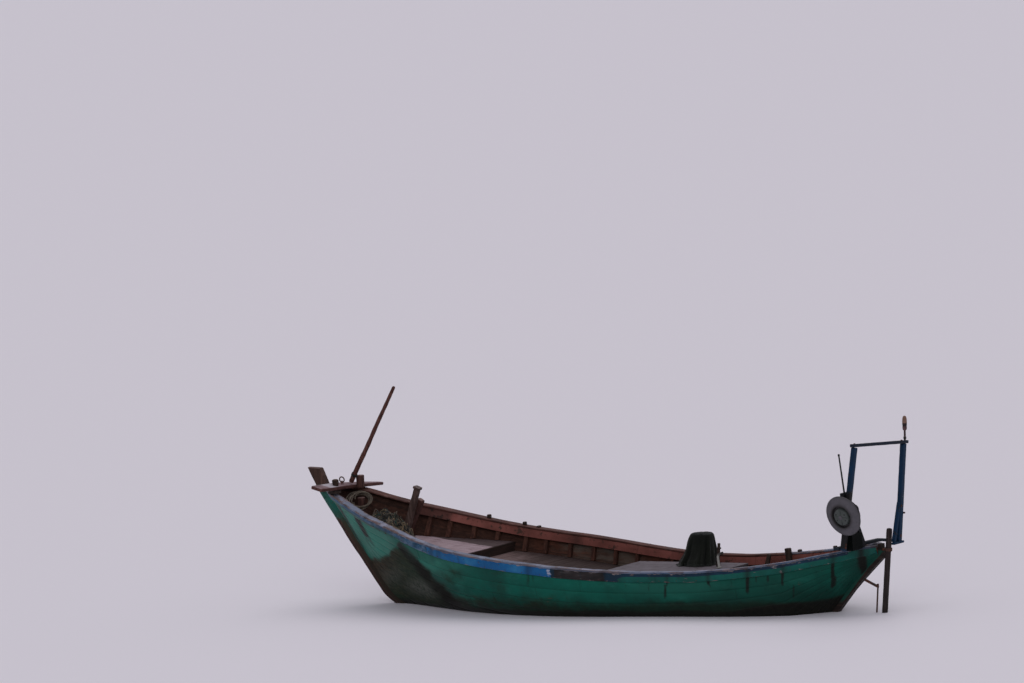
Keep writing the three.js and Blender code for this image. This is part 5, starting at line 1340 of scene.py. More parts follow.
# ============================================================ posts, bars and boards
def post(name, a, b, w0, d0, mat, up=(1, 0, 0), w1=None, d1=None, corner=0.012, wobble=0.0025, body=BOAT, swap=(), head="chamfer", steps=16, seed=1, cap=None, extra=()):
    """A hewn square bar from a to b: w across, d along "up", with eased, slightly uneven faces."""
    w1, d1 = w1 or w0, d1 or d0
    A, B = np.array(a, float), np.array(b, float)
    t = (B - A) / np.linalg.norm(B - A)
    s = np.cross(t, up)
    s /= np.linalg.norm(s)
    q = np.cross(s, t)
    L = np.linalg.norm(B - A)
    ends = min(corner * 0.9, 0.3 * L)
    at = np.concatenate([[0, ends * 0.35], np.linspace(ends, L - ends, steps), [L - ends * 0.35, L]])
    rings = []
    for d in at:
        k = d / L
        w, h = (w0 + (w1 - w0) * k) / 2, (d0 + (d1 - d0) * k) / 2
        pull = 0.0
        if head == "chamfer":
            near = min(d, L - d)
            pull = ends * (1 - min(near / ends, 1)) ** 2 * 0.9
        c = min(corner, w * 0.7, h * 0.7)
        ring = []
        for sx, sy in ((1, 1), (-1, 1), (-1, -1), (1, -1)):
            base = math.atan2(sy, sx) - math.pi / 4
            for j in range(4):
                ang = base + j * math.pi / 6
                cx, cy = sx * (w - pull - c), sy * (h - pull - c)
                ring.append((cx + c * math.cos(ang), cy + c * math.sin(ang)))
        ring = np.array(ring)
        n = len(ring)
        p = A + t * d + ring[:, :1] * s + ring[:, 1:] * q
        if wobble:
            for i in range(n):
                v_ = Vector(p[i]) * 14
                f_ = noise.noise(v_ + Vector((seed * 3.1, 0, 0))) + 0.5 * noise.noise(v_ * 2.3)
                r_ = ring[i] / max(np.linalg.norm(ring[i]), 1e-6)
                p[i] += (r_[0] * s + r_[1] * q) * wobble * f_
        rings.append(p)
    v, f = ring_loft(rings)
    parts = [(v, f, {}, 0)]
    if cap:
        cw, ch = cap
        v2, f2 = plank_box(
            [B - t * ch + s * x * cw / 2 + q * y * cw / 2 for x, y in ((-1, -1), (1, -1), (1, 1), (-1, 1))],
            [B + s * x * cw / 2 + q * y * cw / 2 for x, y in ((-1, -1), (1, -1), (1, 1), (-1, 1))],
            0.006,
        )
        parts.append((v2, f2, {}, 0))
    parts += list(extra)
    mats = mat if isinstance(mat, list) else [mat]
    V, F, attrs, idx = join_parts(parts)
    return make(name, V, F, mats, body=body, swap=swap, attrs=attrs, index=idx, sharp=42)


def finish_node(name, mat, width=0.004, segments=2):
    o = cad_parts[name]
    if not len(o.data.materials):
        o.data.materials.append(mat)
    for s in o.material_slots:
        s.material = mat
    if width:
        bevel(o, width, segments)
    return o


def deck_boards(name, node, key, runs, along, width, mat, thick=0.03, seed=1, gap=0.0045, z_of=None, span=None):
    x0, x1, z0, z1 = span or DECKS[key]
    r = random.Random(seed)
    zf = z_of or (lambda x: z0 + (z1 - z0) * (x - x0) / (x1 - x0))
    edge = lambda x: half_at(x, zf(x) - 0.01, PLANK + 0.010)
    parts = []
    if along == "y":
        n = max(int((x1 - x0) / width), 1)
        cuts = np.linspace(x0, x1, n + 1)
        for i in range(n):
            xa, xb = cuts[i] + gap / 2, cuts[i + 1] - gap / 2
            for lo, hi in runs:
                ya = [max(-edge(x), lo) for x in (xa, xb)]
                yb = [min(edge(x), hi) for x in (xa, xb)]
                if min(yb[0] - ya[0], yb[1] - ya[1]) < 0.02:
                    continue
                up, tilt = r.uniform(-0.0025, 0.0), r.uniform(-0.0012, 0.0012)
                za, zb = zf(xa) + up + tilt, zf(xb) + up - tilt
                steps = max(int((hi - lo) / 0.25), 2) if hi < 5 else 8
                low = [(xa, ya[0] + gap / 2, za - thick), (xb, ya[1] + gap / 2, zb - thick), (xb, ya[1] + gap / 2, zb), (xa, ya[0] + gap / 2, za)]
                high = [(xa, yb[0] - gap / 2, za - thick), (xb, yb[1] - gap / 2, zb - thick), (xb, yb[1] - gap / 2, zb), (xa, yb[0] - gap / 2, za)]
                v, f = plank_box(low, high, 0.004)
                parts.append((v, f, {"tone": r.random(), "dirt": 0.0}, 0))
    else:
        half = max(edge(x) for x in np.linspace(x0, x1, 9))
        n = int(2 * half / width) + 1
        lines = [(k - n / 2) * width for k in range(n + 1)]
        for i in range(n):
            ya, yb = lines[i] + gap / 2, lines[i + 1] - gap / 2
            breaks = [x0] + ([x0 + (x1 - x0) * r.uniform(0.3, 0.7)] if x1 - x0 > 1.9 else []) + [x1]
            for k in range(len(breaks) - 1):
                xs = np.linspace(breaks[k] + gap / 2, breaks[k + 1] - gap / 2, max(int((breaks[k + 1] - breaks[k]) / 0.07), 4))
                up = r.uniform(-0.0025, 0.0)
                rings = []
                for x in xs:
                    e = edge(x)
                    lo, hi = max(ya, -e), min(yb, e)
                    if hi - lo < 0.012:
                        continue
                    z = zf(x) + up + 0.0012 * noise.noise(Vector((x * 3, ya * 9, seed)))
                    c = min(0.004, (hi - lo) * 0.3)
                    rings.append([(x, lo, z - thick), (x, hi, z - thick), (x, hi, z - c), (x, hi - c * 0.4, z - c * 0.25), (x, hi - c * 1.2, z), (x, lo + c * 1.2, z), (x, lo + c * 0.4, z - c * 0.25), (x, lo, z - c)])
                if len(rings) < 2:
                    continue
                v, f = ring_loft(rings)
                parts.append((v, f, {"tone": r.random(), "dirt": 0.0}, 0))
    V, F, attrs, idx = join_parts(parts)
    return make(name, V, F, mat, attrs=attrs, swap=[node] if node else (), sharp=40)


deck_boards("main_deck_boards", "main_deck", "main", [(-9, -0.42), (-0.42, 0.42), (0.42, 9)], "y", 0.145, MAT["deck_main"], seed=5)
deck_boards("fore_deck_boards", "fore_deck", "fore", [], "x", 0.15, MAT["deck_fore"], seed=6)
deck_boards("aft_deck_boards", "aft_deck", "aft", [], "x", 0.16, MAT["deck_aft"], seed=9)
deck_boards("stern_deck_boards", "stern_deck", None, [(-9, 9)], "y", 0.115, MAT["deck_aft"], seed=4, span=(-4.02, -3.67, 0.812, 0.765))

for where in ("aft", "main", "fore"):
    for side in ("port", "starboard"):
        finish_node(f"{side}_ribs_{where}", MAT["rib"], 0.004)
# the fore bulkhead takes the darker boards as painted shade under the fore deck's edge
for n in ("stern_bulkhead", "mid_bulkhead", "fore_bulkhead"):
    finish_node(n, MAT["step"] if n == "fore_bulkhead" else MAT["bare"], 0.003)

# ------------------------------------------------------------ backbone
STEM_FRONT = [(2.72, -0.29), (3.0, -0.205), (3.2, -0.13), (3.43, 0.0), (3.57, 0.1), (3.68, 0.238), (3.92, 0.585), (4.07, 0.79), (4.25, 1.07), (4.49, 1.43), (4.672, 1.777)]
STEM_BACK = [(2.705, -0.208)] + [(r[0], r[3]) for r in SECTIONS if r[0] > 2.71] + [(4.365, 1.5), (4.40, 1.59), (4.475, 1.765)]


def resample(points, n):
    p = np.array(points, float)
    s = np.concatenate([[0], np.cumsum(np.linalg.norm(np.diff(p, axis=0), axis=1))])
    at = np.linspace(0, s[-1], n)
    return np.stack([np.interp(at, s, p[:, k]) for k in range(p.shape[1])], 1)


def stem():
    n = 90
    front = resample(catmull([(x, z, 0) for x, z in STEM_FRONT], 10)[:, :2], n)
    back = resample(STEM_BACK, n)
    rings = []
    for i in range(n):
        f_, b_ = front[i], back[i]
        t = i / (n - 1)
        e = 0.0012 * math.sin(i * 0.9) + 0.0015 * noise.noise(Vector((i * 0.12, 3.3, 0)))
        d = (f_ - b_) / np.linalg.norm(f_ - b_)
        wide_back, wide_front = 0.0445, 0.030 + 0.004 * t + e
        ring = []
        for k, wdt in ((0.0, wide_back), (0.55, wide_back + e), (0.9, wide_front + 0.006), (0.975, wide_front), (1.0, wide_front - 0.009)):
            p = b_ + (f_ - b_) * k
            ring.append((p[0], wdt, p[1]))
        ring += [(x, -y, z) for x, y, z in reversed(ring)]
        rings.append(ring)
    # the head: a worn, slightly domed top
    b_, f_ = back[-1], front[-1]
    for k, (lift, pull) in enumerate([(0.004, 0.004), (0.009, 0.011), (0.011, 0.02)]):
        ring = []
        mid = (b_ + f_) / 2
        for kk, wdt in ((0.0, 0.0445), (0.55, 0.0445), (0.9, 0.039), (0.975, 0.034), (1.0, 0.026)):
            p = b_ + (f_ - b_) * kk
            p = p + (mid - p) * (pull / 0.1) * 0.5
            ring.append((p[0], max(wdt - pull, 0.004), p[1] + lift * (1 - 0.3 * kk)))
        ring += [(x, -y, z) for x, y, z in reversed(ring)]
        rings.append(ring)
    v, f = ring_loft(rings)
    front_share = np.tile([0.0, 0.55, 0.9, 0.975, 1.0, 1.0, 0.975, 0.9, 0.55, 0.0], len(rings))
    return make("stem_post_timber", v, f, MAT["stem"], swap=["stem_post"], sharp=30, attrs={"front": front_share})


stem()
finish_node("keel", MAT["backbone"], 0.008)


def painted_half(m, c):
    """The stern post's inner half is painted with the planking, above the water."""
    x, y, z = m.axes()
    d = m.math("ADD", m.math("ADD", x, m.math("MULTIPLY", z, 0.912)), 3.43)
    d = m.math("ADD", d, m.math("MULTIPLY", m.math("SUBTRACT", m.noise(9.0, detail=5), 0.5), 0.03))
    d = m.math("ADD", d, m.math("MULTIPLY", m.step(z, 0.6, 0.72), 0.035))
    on = m.math("MULTIPLY", m.step(d, 0.034, 0.05), m.step(z, 0.1, 0.2))
    on = m.math("MULTIPLY", on, m.math("SUBTRACT", 1.0, m.step(z, 0.8, 0.84)))
    return m.mix(m.math("MULTIPLY", on, 0.9), c, lin(2, 62, 51))


finish_node("stern_post", wood("stern_post_wood", "x", lin(20, 14, 12), lin(38, 27, 22), lin(60, 44, 36), rough=0.7, also=painted_half), 0.009, 3)

# ------------------------------------------------------------ engine box, cover, pipe, stake
def engine_box():
    r = random.Random(12)
    x0, x1, y0, y1, z0, z1 = -1.78, -0.12, -0.44, 0.56, 0.457, 0.548
    parts = []
    t = 0.024
    for ya, yb in ((y0, y0 + 0.03), (y1 - 0.03, y1)):
        v, f = plank_box([(x0, ya, z0), (x0, yb, z0), (x0, yb, z1 - t - 0.001), (x0, ya, z1 - t - 0.001)], [(x1, ya, z0), (x1, yb, z0), (x1, yb, z1 - t - 0.001), (x1, ya, z1 - t - 0.001)], 0.003)
        parts.append((v, f, {"tone": 0.6, "dirt": 0.2}, 0))
    for xa, xb in ((x0, x0 + 0.03), (x1 - 0.03, x1)):
        v, f = plank_box([(xa, y0 + 0.031, z0), (xb, y0 + 0.031, z0), (xb, y0 + 0.031, z1 - t - 0.001), (xa, y0 + 0.031, z1 - t - 0.001)], [(xa, y1 - 0.031, z0), (xb, y1 - 0.031, z0), (xb, y1 - 0.031, z1 - t - 0.001), (xa, y1 - 0.031, z1 - t - 0.001)], 0.003)
        parts.append((v, f, {"tone": 0.4, "dirt": 0.2}, 0))
    n = 7
    cuts = np.linspace(y0 - 0.002, y1 + 0.002, n + 1)
    for i in range(n):
        ya, yb = cuts[i] + 0.002, cuts[i + 1] - 0.002
        brk = r.uniform(-1.2, -0.6)
        for xa, xb in ((x0 - 0.006, brk - 0.0015), (brk + 0.0015, x1 + 0.006)):
            d = r.uniform(-0.002, 0.0)
            v, f = plank_box([(xa, ya, z1 - t), (xa, yb, z1 - t), (xa, yb, z1 + d), (xa, ya, z1 + d)], [(xb, ya, z1 - t), (xb, yb, z1 - t), (xb, yb, z1 + d), (xb, ya, z1 + d)], 0.0035)
            parts.append((v, f, {"tone": r.random(), "dirt": 0.0}, 0))
    V, F, attrs, idx = join_parts(parts)
    return make("engine_box_boards", V, F, MAT["deck_aft"], attrs=attrs, swap=["engine_box"], sharp=40)


engine_box()
finish_node("engine_block", MAT["iron"], 0.02, 3)

COVER = np.array(
    [
        [0.552, -1.43, -0.86, -0.43, 0.0],
        [0.66, -1.415, -0.95, -0.4, -0.04],
        [0.8, -1.405, -1.02, -0.36, -0.08],
        [0.93, -1.4, -1.07, -0.33, -0.1],
        [0.985, -1.37, -1.1, -0.31, -0.12],
    ]
)


def engine_cover():
    n_t, down = 160, 46
    verts, crease = [], []
    zs_top = 0.984
    ph = [0.4, 2.1, 5.0, 1.3]
    for i in range(down + 1):
        s = i / down
        for k in range(n_t):
            th = 2 * math.pi * k / n_t
            c_, s_ = math.cos(th), math.sin(th)
            if s < 0.24:
                q = s / 0.24
                z = zs_top - 0.016 * q**2.5 - 0.006 * (1 - q)
                row = COVER[4].copy()
                g = 0.04 + 0.93 * q
            else:
                q = (s - 0.24) / 0.76
                z = 0.968 + (0.555 - 0.968) * q
                row = np.array([pchip(COVER[:, 0], COVER[:, j], np.array([z]))[0] if j else z for j in range(5)])
                g = 1.0 - 0.03 * (1 - min(q * 6, 1))
            cx, cy = (row[1] + row[2]) / 2, (row[3] + row[4]) / 2
            hx, hy = (row[2] - row[1]) / 2 * g, (row[4] - row[3]) / 2 * g
            ex = 0.68
            x = cx + hx * math.copysign(abs(c_) ** ex, c_)
            y = cy + hy * math.copysign(abs(s_) ** ex, s_)
            amp = smooth(0.2, 1.0, s) * 0.02
            fold = math.sin(7 * th + ph[0] + 0.8 * s) + 0.7 * math.sin(12 * th + ph[1] - 1.3 * s) + 0.45 * math.sin(19 * th + ph[2]) * s
            soft_ = noise.noise(Vector((x * 7, y * 7, z * 6)))
            rad = float(amp) * (fold - 0.9) * 0.75 + 0.008 * soft_ * min(s * 4, 1)
            L = math.hypot(c_, s_)
            x += rad * c_ / L
            y += rad * s_ / L
            if s < 0.24:
                z += 0.005 * noise.noise(Vector((x * 16, y * 16, 1.2)))
                z -= 0.006 * abs(math.sin(5 * th)) * (s / 0.24) ** 3
            if s > 0.93:
                z = 0.5545 + 0.004 * (1 + math.sin(9 * th + ph[3])) * (s - 0.93) / 0.07 * 0.6
                spread = (s - 0.93) / 0.07 * 0.006
                x += spread * c_
                y += spread * s_
            verts.append((x, y, max(z, 0.5535)))
            crease.append(float(np.clip(0.5 + 0.5 * fold / 1.6, 0, 1)) * float(smooth(0.2, 0.6, s)))
    faces = [(i * n_t + k, i * n_t + (k + 1) % n_t, (i + 1) * n_t + (k + 1) % n_t, (i + 1) * n_t + k) for i in range(down) for k in range(n_t)]
    verts.append((float(np.mean([v_[0] for v_ in verts[:n_t]])), float(np.mean([v_[1] for v_ in verts[:n_t]])), verts[0][2]))
    crease.append(0)
    faces += [(len(verts) - 1, (k + 1) % n_t, k) for k in range(n_t)]
    o = make("engine_cover_tarp", verts, faces, MAT["cloth"], attrs={"crease": crease}, swap=["engine_cover"], sharp=None)
    sol = o.modifiers.new("thickness", "SOLIDIFY")
    sol.thickness, sol.offset = 0.003, -1.0
    return o


engine_cover()

pipe_line = catmull([(-1.63, 0.03, 0.551), (-1.628, 0.03, 0.6), (-1.622, 0.03, 0.66), (-1.622, 0.028, 0.7), (-1.634, 0.024, 0.724), (-1.662, 0.018, 0.737), (-1.69, 0.012, 0.742)], 8)
pv, pf = tube(pipe_line, 0.016, 20)
cv, cf = tube(np.array([(-1.6305, 0.03, 0.551), (-1.63, 0.03, 0.556), (-1.6295, 0.03, 0.562)]), np.array([0.036, 0.036, 0.03]), 24)
ev, ef = tube(pipe_line[-5:], np.array([0.0185] * 5), 20)
V, F, attrs, idx = join_parts([(pv, pf, {"dirt": np.clip(smooth(0.69, 0.74, pv[:, 2]) * 0.9, 0, 1)}, 0), (cv, cf, {"dirt": 0.4}, 0), (ev, ef, {"dirt": 0.95}, 0)])
make("exhaust_pipe_elbow", V, F, MAT["pipe"], attrs=attrs, index=idx, swap=["exhaust_pipe"], sharp=45)

post("deck_stake_notched", (-1.56, -0.05, 0.5505), (-1.6, -0.05, 0.862), 0.037, 0.037, MAT["backbone_z"], w1=0.03, d1=0.03, corner=0.006, wobble=0.003, swap=["deck_stake"], seed=3,
     extra=[(*plank_box([(-1.612, -0.078, 0.78), (-1.585, -0.078, 0.78), (-1.585, -0.078, 0.803), (-1.612, -0.078, 0.803)], [(-1.612, -0.02, 0.79), (-1.585, -0.02, 0.79), (-1.585, -0.02, 0.813), (-1.612, -0.02, 0.813)], 0.003), {}, 0)])
post("quarter_bitt_post", (-2.35, -0.56, 0.4585), (-2.33, -0.56, 0.735), 0.06, 0.06, MAT["backbone_z"], w1=0.07, d1=0.07, corner=0.01, wobble=0.003, swap=["quarter_bitt"], seed=5)
post("deck_stub", (-1.99, -0.545, 0.4585), (-2.04, -0.565, 0.655), 0.05, 0.055, MAT["backbone_z"], w1=0.045, d1=0.05, corner=0.012, wobble=0.005, seed=6)

# ------------------------------------------------------------ timber heads on the caps
for i, (x, side, h, w) in enumerate([(2.50, -1, 0.05, 0.05), (2.03, -1, 0.045, 0.042), (1.84, -1, 0.022, 0.07), (-2.42, -1, 0.03, 0.05), (-3.05, -1, 0.035, 0.04)]):
    sy, sz, k = sheer(np.array([x]))
    y = side * (sy[0] - 0.036)
    post(f"timber_head_{i + 1}", (x, y, sz[0] + 0.02), (x + 0.003, y, sz[0] + 0.026 + h), w, 0.05, MAT["backbone_z"], corner=0.01, wobble=0.003, steps=6, seed=20 + i)

# ------------------------------------------------------------ bow beam and its gear
BEAM = np.array([[0.76, 1.626, 0.16, 0.045, 15], [0.3, 1.597, 0.175, 0.05, 13], [-0.3, 1.542, 0.15, 0.048, 8], [-0.77, 1.486, 0.1, 0.04, 2]])[::-1]


def bow_beam():
    ys = np.concatenate([[-0.77, -0.7665], np.linspace(-0.758, 0.748, 60), [0.7565, 0.76]])
    rings, tone = [], []
    for i, y in enumerate(ys):
        z, wide, thick, pitch = (float(pchip(BEAM[:, 0], BEAM[:, k], np.array([y]))[0]) for k in range(1, 5))
        shrink = 0.006 if i in (0, len(ys) - 1) else 0.002 if i in (1, len(ys) - 2) else 0.0
        t = math.radians(pitch)
        c_, s_ = math.cos(t), math.sin(t)
        h = wide / 2 - shrink + 0.0025 * noise.noise(Vector((y * 5, 1, 1)))
        hb = wide / 2 - shrink + 0.0035 * noise.noise(Vector((y * 4, 7, 1)))
        r = 0.008
        top = -shrink + 0.0015 * noise.noise(Vector((y * 6, 4, 4)))
        low = -thick + shrink
        prof = [(-hb + r, low), (-hb, low + r), (-hb, top - r), (-hb + r * 0.3, top - r * 0.3), (-hb + r, top), (-hb * 0.33, top + 0.001), (h * 0.33, top + 0.001), (h - r, top), (h - r * 0.3, top - r * 0.3), (h, top - r), (h, low + r), (h - r, low)]
        rings.append([(4.07 + u * c_ - w * s_, y, z + u * s_ + w * c_) for u, w in prof])
    v, f = ring_loft(rings)
    return make("bow_beam_plank", v, f, MAT["beam"], swap=["bow_beam"], sharp=45)


bow_beam()
finish_node("port_beam_chock", MAT["backbone_z"], 0.004)


def turned_wood(name, at, axis, rows, mat, swap, sides=28, lump=0.004, seed=2):
    v, f = lathe(at, axis, rows, sides)
    v, f = close_ends(v, f, sides)
    out = []
    c = np.array(at)
    for p in v:
        d = p - c
        k = noise.noise(Vector(p) * 16 + Vector((seed, 0, 0))) + 0.5 * noise.noise(Vector(p) * 37)
        out.append(p + np.array([d[0], d[1], 0]) / max(np.linalg.norm(d[:2]), 0.02) * lump * k * (np.linalg.norm(d[:2]) > 0.012))
    return make(name, out, f, mat, swap=swap, sharp=50)


turned_wood("port_bitt_post", (4.035, 0.355, 1.5855), (0, 0, 1), [(0, 0.03), (0.0, 0.038), (0.018, 0.0405), (0.045, 0.041), (0.065, 0.0425), (0.078, 0.0415), (0.086, 0.036), (0.0915, 0.024), (0.094, 0.008)], MAT["bitt"], ["port_bitt"])

ring_parts = []
rp = []
for k in range(48):
    a = 2 * math.pi * k / 48
    rp.append((4.06 + 0.036 * math.cos(a), 0.16 + 0.004 * math.sin(a), 1.645 + 0.036 * math.sin(a)))
rp = np.array(rp)
w = np.linspace(0, 2 * np.pi, 14, endpoint=False)
rv, rf = [], []
for k in range(48):
    a = 2 * math.pi * k / 48
    out_dir = np.array([math.cos(a), 0, math.sin(a)])
    for q in w:
        rv.append(rp[k] + 0.008 * (math.cos(q) * out_dir + math.sin(q) * np.array([0, 1, 0])))
for k in range(48):
    for j in range(14):
        rf.append((k * 14 + j, k * 14 + (j + 1) % 14, ((k + 1) % 48) * 14 + (j + 1) % 14, ((k + 1) % 48) * 14 + j))
sv, sf = tube(catmull([(4.06, 0.142, 1.575), (4.06, 0.142, 1.605), (4.06, 0.148, 1.622), (4.06, 0.16, 1.628), (4.06, 0.172, 1.622), (4.06, 0.178, 1.605), (4.06, 0.178, 1.578)], 6), 0.006, 10)
V, F, attrs, idx = join_parts([(rv, rf, {}, 0), (sv, sf, {}, 0)])
make("mooring_ring_and_staple", V, F, MAT["rust"], swap=["mooring_ring"], sharp=None)

pole_line = catmull([(4.03, -0.012, 1.592), (3.9, -0.009, 1.806), (3.74, -0.016, 2.07), (3.56, -0.009, 2.37), (3.4, -0.014, 2.635), (3.262, -0.012, 2.862)], 12)
s_ = np.linspace(0, 1, len(pole_line))
radius = 0.034 + (0.022 - 0.034) * s_ + 0.0014 * wob(s_, 4, 26) + 0.0016 * np.exp(-(((s_ - 0.31) / 0.012) ** 2)) + 0.0018 * np.exp(-(((s_ - 0.62) / 0.01) ** 2))
radius[0] -= 0.004
radius[-1] -= 0.006
v, f = tube(pole_line, radius, 20)
make("bow_pole_spar", v, f, MAT["pole"], swap=["bow_pole"], sharp=50)

# turns of small rope that lash the pole's foot to the beam
def turns(name, centre, axis, r0, count, d, mat, squash=1.0, body=BOAT):
    axis = Vector(axis).normalized()
    u = axis.orthogonal().normalized()
    w_ = axis.cross(u)
    line = []
    for k in range(count * 28 + 1):
        a = 2 * math.pi * k / 28
        line.append(tuple(Vector(centre) + (u * math.cos(a) + w_ * math.sin(a) * squash) * (r0 + d * 0.5) + axis * ((k / (count * 28) - 0.5) * d * 1.03 * count)))
    v, f, a_, p = laid(np.array(line), d, points=9)
    return make(name, v, f, mat, attrs=a_, body=body, sharp=None)


direction = (3.262 - 4.03, 0.0, 2.862 - 1.592)
turns("pole_lashing", (4.03 + direction[0] * 0.075, -0.0115, 1.592 + direction[2] * 0.075), direction, 0.0335, 4, 0.008, MAT["twine_dark"])

post("starboard_bitt_post", (3.943, -0.1, 1.4995), (3.943, -0.1, 1.672), 0.084, 0.084, MAT["beam_z"], corner=0.011, wobble=0.0035, steps=10, swap=["starboard_bitt"], seed=8)
post("coil_post_square", (3.88, 0.0, deck_z(3.92) + 0.0035), (3.88, 0.0, 1.39), 0.08, 0.08, MAT["beam_z"], corner=0.011, wobble=0.0035, steps=20, swap=["coil_post"], seed=9)
post("samson_post_tall", (3.315, -0.12, deck_z(3.315) + 0.0235), (3.062, -0.12, 1.525), 0.085, 0.085, MAT["samson"], w1=0.072, d1=0.072, corner=0.012, wobble=0.004, steps=30, swap=["samson_post"], seed=10, cap=(0.094, 0.034))
post("samson_post_low", (3.35, -0.215, deck_z(3.35) + 0.0295), (3.085, -0.215, 1.345), 0.09, 0.09, MAT["beam_z"], w1=0.088, d1=0.088, corner=0.013, wobble=0.004, steps=24, swap=["samson_post_short"], seed=11)

# ------------------------------------------------------------ the heap of net
HEAP = np.array([[3.05, 0.0, 0.3, 0.97], [3.12, -0.02, 0.4, 1.04], [3.25, -0.03, 0.44, 1.07], [3.385, -0.04, 0.46, 1.08], [3.415, -0.38, 0.46, 1.09], [3.48, -0.41, 0.45, 1.17], [3.56, -0.39, 0.43, 1.21], [3.63, -0.34, 0.4, 1.16], [3.7, -0.26, 0.32, 1.08], [3.79, -0.16, 0.2, 1.0]])


def heap_point(x, t, lift=0.0):
    """A point on the heap: station x, and t from 0 at starboard to 1 at port, over the top."""
    y0, y1, top = (float(pchip(HEAP[:, 0], HEAP[:, k], np.array([x]))[0]) for k in (1, 2, 3))
    z0 = deck_z(x) + 0.004
    y = y0 + (y1 - y0) * t
    z = z0 + (top - z0) * max(math.sin(math.pi * (0.05 + 0.9 * t)), 0.0) ** 0.7
    e = min((x - 3.045) / 0.08, (3.8 - x) / 0.1, 1.0)
    z = z0 + (z - z0) * (0.35 + 0.65 * math.sqrt(max(e, 0.0)))
    n_ = noise.noise(Vector((x * 9, y * 9, 2.0))) * 0.05 + noise.noise(Vector((x * 21, y * 21, 5.0))) * 0.024 + noise.noise(Vector((x * 48, y * 48, 9.0))) * 0.01
    z += n_ * min(1.0, 4 * t, 4 * (1 - t)) + lift
    lim = half_at(x, min(z, 1.2), RIB_IN + 0.03)
    return Vector((x, max(-lim, min(lim, y)), max(z, z0 + 0.001)))


def net_heap():
    nx, nt = 96, 72
    rings = []
    for i in range(nx + 1):
        x = 3.052 + 0.736 * i / nx
        upper = [tuple(heap_point(x, j / nt)) for j in range(nt + 1)]
        z0 = deck_z(x) + 0.003
        lower = [(p[0], p[1] * 0.97, z0) for p in reversed(upper)]
        rings.append(upper + lower)
    v, f = ring_loft(rings)
    parts = [(v, f, {}, 0)]
    r = random.Random(31)
    for k in range(250):
        x, t = r.uniform(3.08, 3.77), r.uniform(0.06, 0.94)
        a = r.uniform(0, 6.28)
        heavy = k >= 210
        thick = r.uniform(0.0055, 0.0085) if heavy else r.choice([0.0022, 0.003, 0.0036, 0.0044])
        pts = []
        turn = r.uniform(-0.5, 0.5)
        for q in range(r.randint(7, 15)):
            lift = thick * 0.7 + (0.014 * abs(math.sin(q * 1.3)) if heavy else 0.006 * abs(math.sin(q * 1.7)))
            pts.append(tuple(heap_point(x, t, lift)))
            a += turn + r.uniform(-0.35, 0.35)
            x = min(max(x + 0.026 * math.cos(a), 3.062), 3.785)
            t = min(max(t + 0.036 * math.sin(a), 0.04), 0.96)
        tv, tf = tube(catmull(pts, 4), thick, 6)
        parts.append((tv, tf, {}, r.choice([1, 2, 2, 2, 3]) if not heavy else r.choice([1, 2, 2, 4])))
    # loose bights that stand off the heap and fall back on it
    for k in range(84):
        x0, t0 = (r.uniform(3.08, 3.74), r.uniform(0.08, 0.82)) if k % 3 else (r.uniform(3.07, 3.3), r.uniform(0.1, 0.7))
        x1, t1 = x0 + r.uniform(-0.1, 0.12), t0 + r.uniform(-0.16, 0.16)
        x1, t1 = min(max(x1, 3.062), 3.78), min(max(t1, 0.05), 0.95)
        rise = r.uniform(0.02, 0.062)
        thick = r.choice([0.0032, 0.004, 0.0052, 0.0062])
        side_ = Vector((r.uniform(-0.03, 0.03), r.uniform(-0.03, 0.03), 0))
        pts = [tuple(heap_point(x0, t0, -0.01))]
        for q in (0.2, 0.4, 0.6, 0.8):
            base_ = heap_point(x0 + (x1 - x0) * q, t0 + (t1 - t0) * q)
            pts.append(tuple(base_ + side_ * math.sin(math.pi * q) + Vector((0, 0, rise * math.sin(math.pi * q) ** 0.8))))
        pts.append(tuple(heap_point(x1, t1, -0.01)))
        tv, tf = tube(catmull(pts, 6), thick, 7)
        parts.append((tv, tf, {}, r.choice([1, 2, 4, 2, 2, 3])))
    # longer tan loops that hang off the aft and port side of the heap
    for k in range(22):
        x0, t0 = r.uniform(3.07, 3.4), r.uniform(0.25, 0.9)
        x1, t1 = min(max(x0 - r.uniform(-0.06, 0.16), 3.058), 3.6), min(max(t0 + r.uniform(-0.25, 0.25), 0.05), 0.97)
        rise = r.uniform(0.035, 0.075)
        thick = r.choice([0.0038, 0.0048, 0.006])
        side_ = Vector((r.uniform(-0.05, 0.02), r.uniform(-0.04, 0.04), 0))
        pts = [tuple(heap_point(x0, t0, -0.01))]
        for q in (0.15, 0.35, 0.5, 0.65, 0.85):
            base_ = heap_point(x0 + (x1 - x0) * q, t0 + (t1 - t0) * q)
            pts.append(tuple(base_ + side_ * math.sin(math.pi * q) + Vector((0, 0, rise * math.sin(math.pi * q) ** 0.7))))
        pts.append(tuple(heap_point(x1, t1, -0.01)))
        tv, tf = tube(catmull(pts, 6), thick, 7)
        parts.append((tv, tf, {}, r.choice([1, 1, 4])))
    V, F, attrs, idx = join_parts(parts)
    return make("net_heap_tangle", V, F, [MAT["net"], MAT["twine_tan"], MAT["twine_dark"], MAT["twine_green"], MAT["rope"]], attrs=attrs, index=idx, swap=["net_heap"], sharp=None)


net_heap()

# ------------------------------------------------------------ stern frame
def on_frame(y, z):
    return (-3.97 - 0.114 * (z - 0.9), y, z)


def bolts(points, axis, r=0.011, h=0.008, washer=True):
    out = []
    for p in points:
        if washer:
            wv, wf = lathe(p, axis, [(0, r * 1.7), (0.002, r * 1.7), (0.0025, r * 1.6)], 16)
            wv, wf = close_ends(wv, wf, 16)
            out.append((wv, wf, {}, 1))
        q = Vector(p) + Vector(axis).normalized() * 0.0022
        bv, bf = hexbolt(q, axis, r, h)
        out.append((bv, bf, {}, 1))
    return out


beam_x = -3.97 + 0.03 + 0.0495


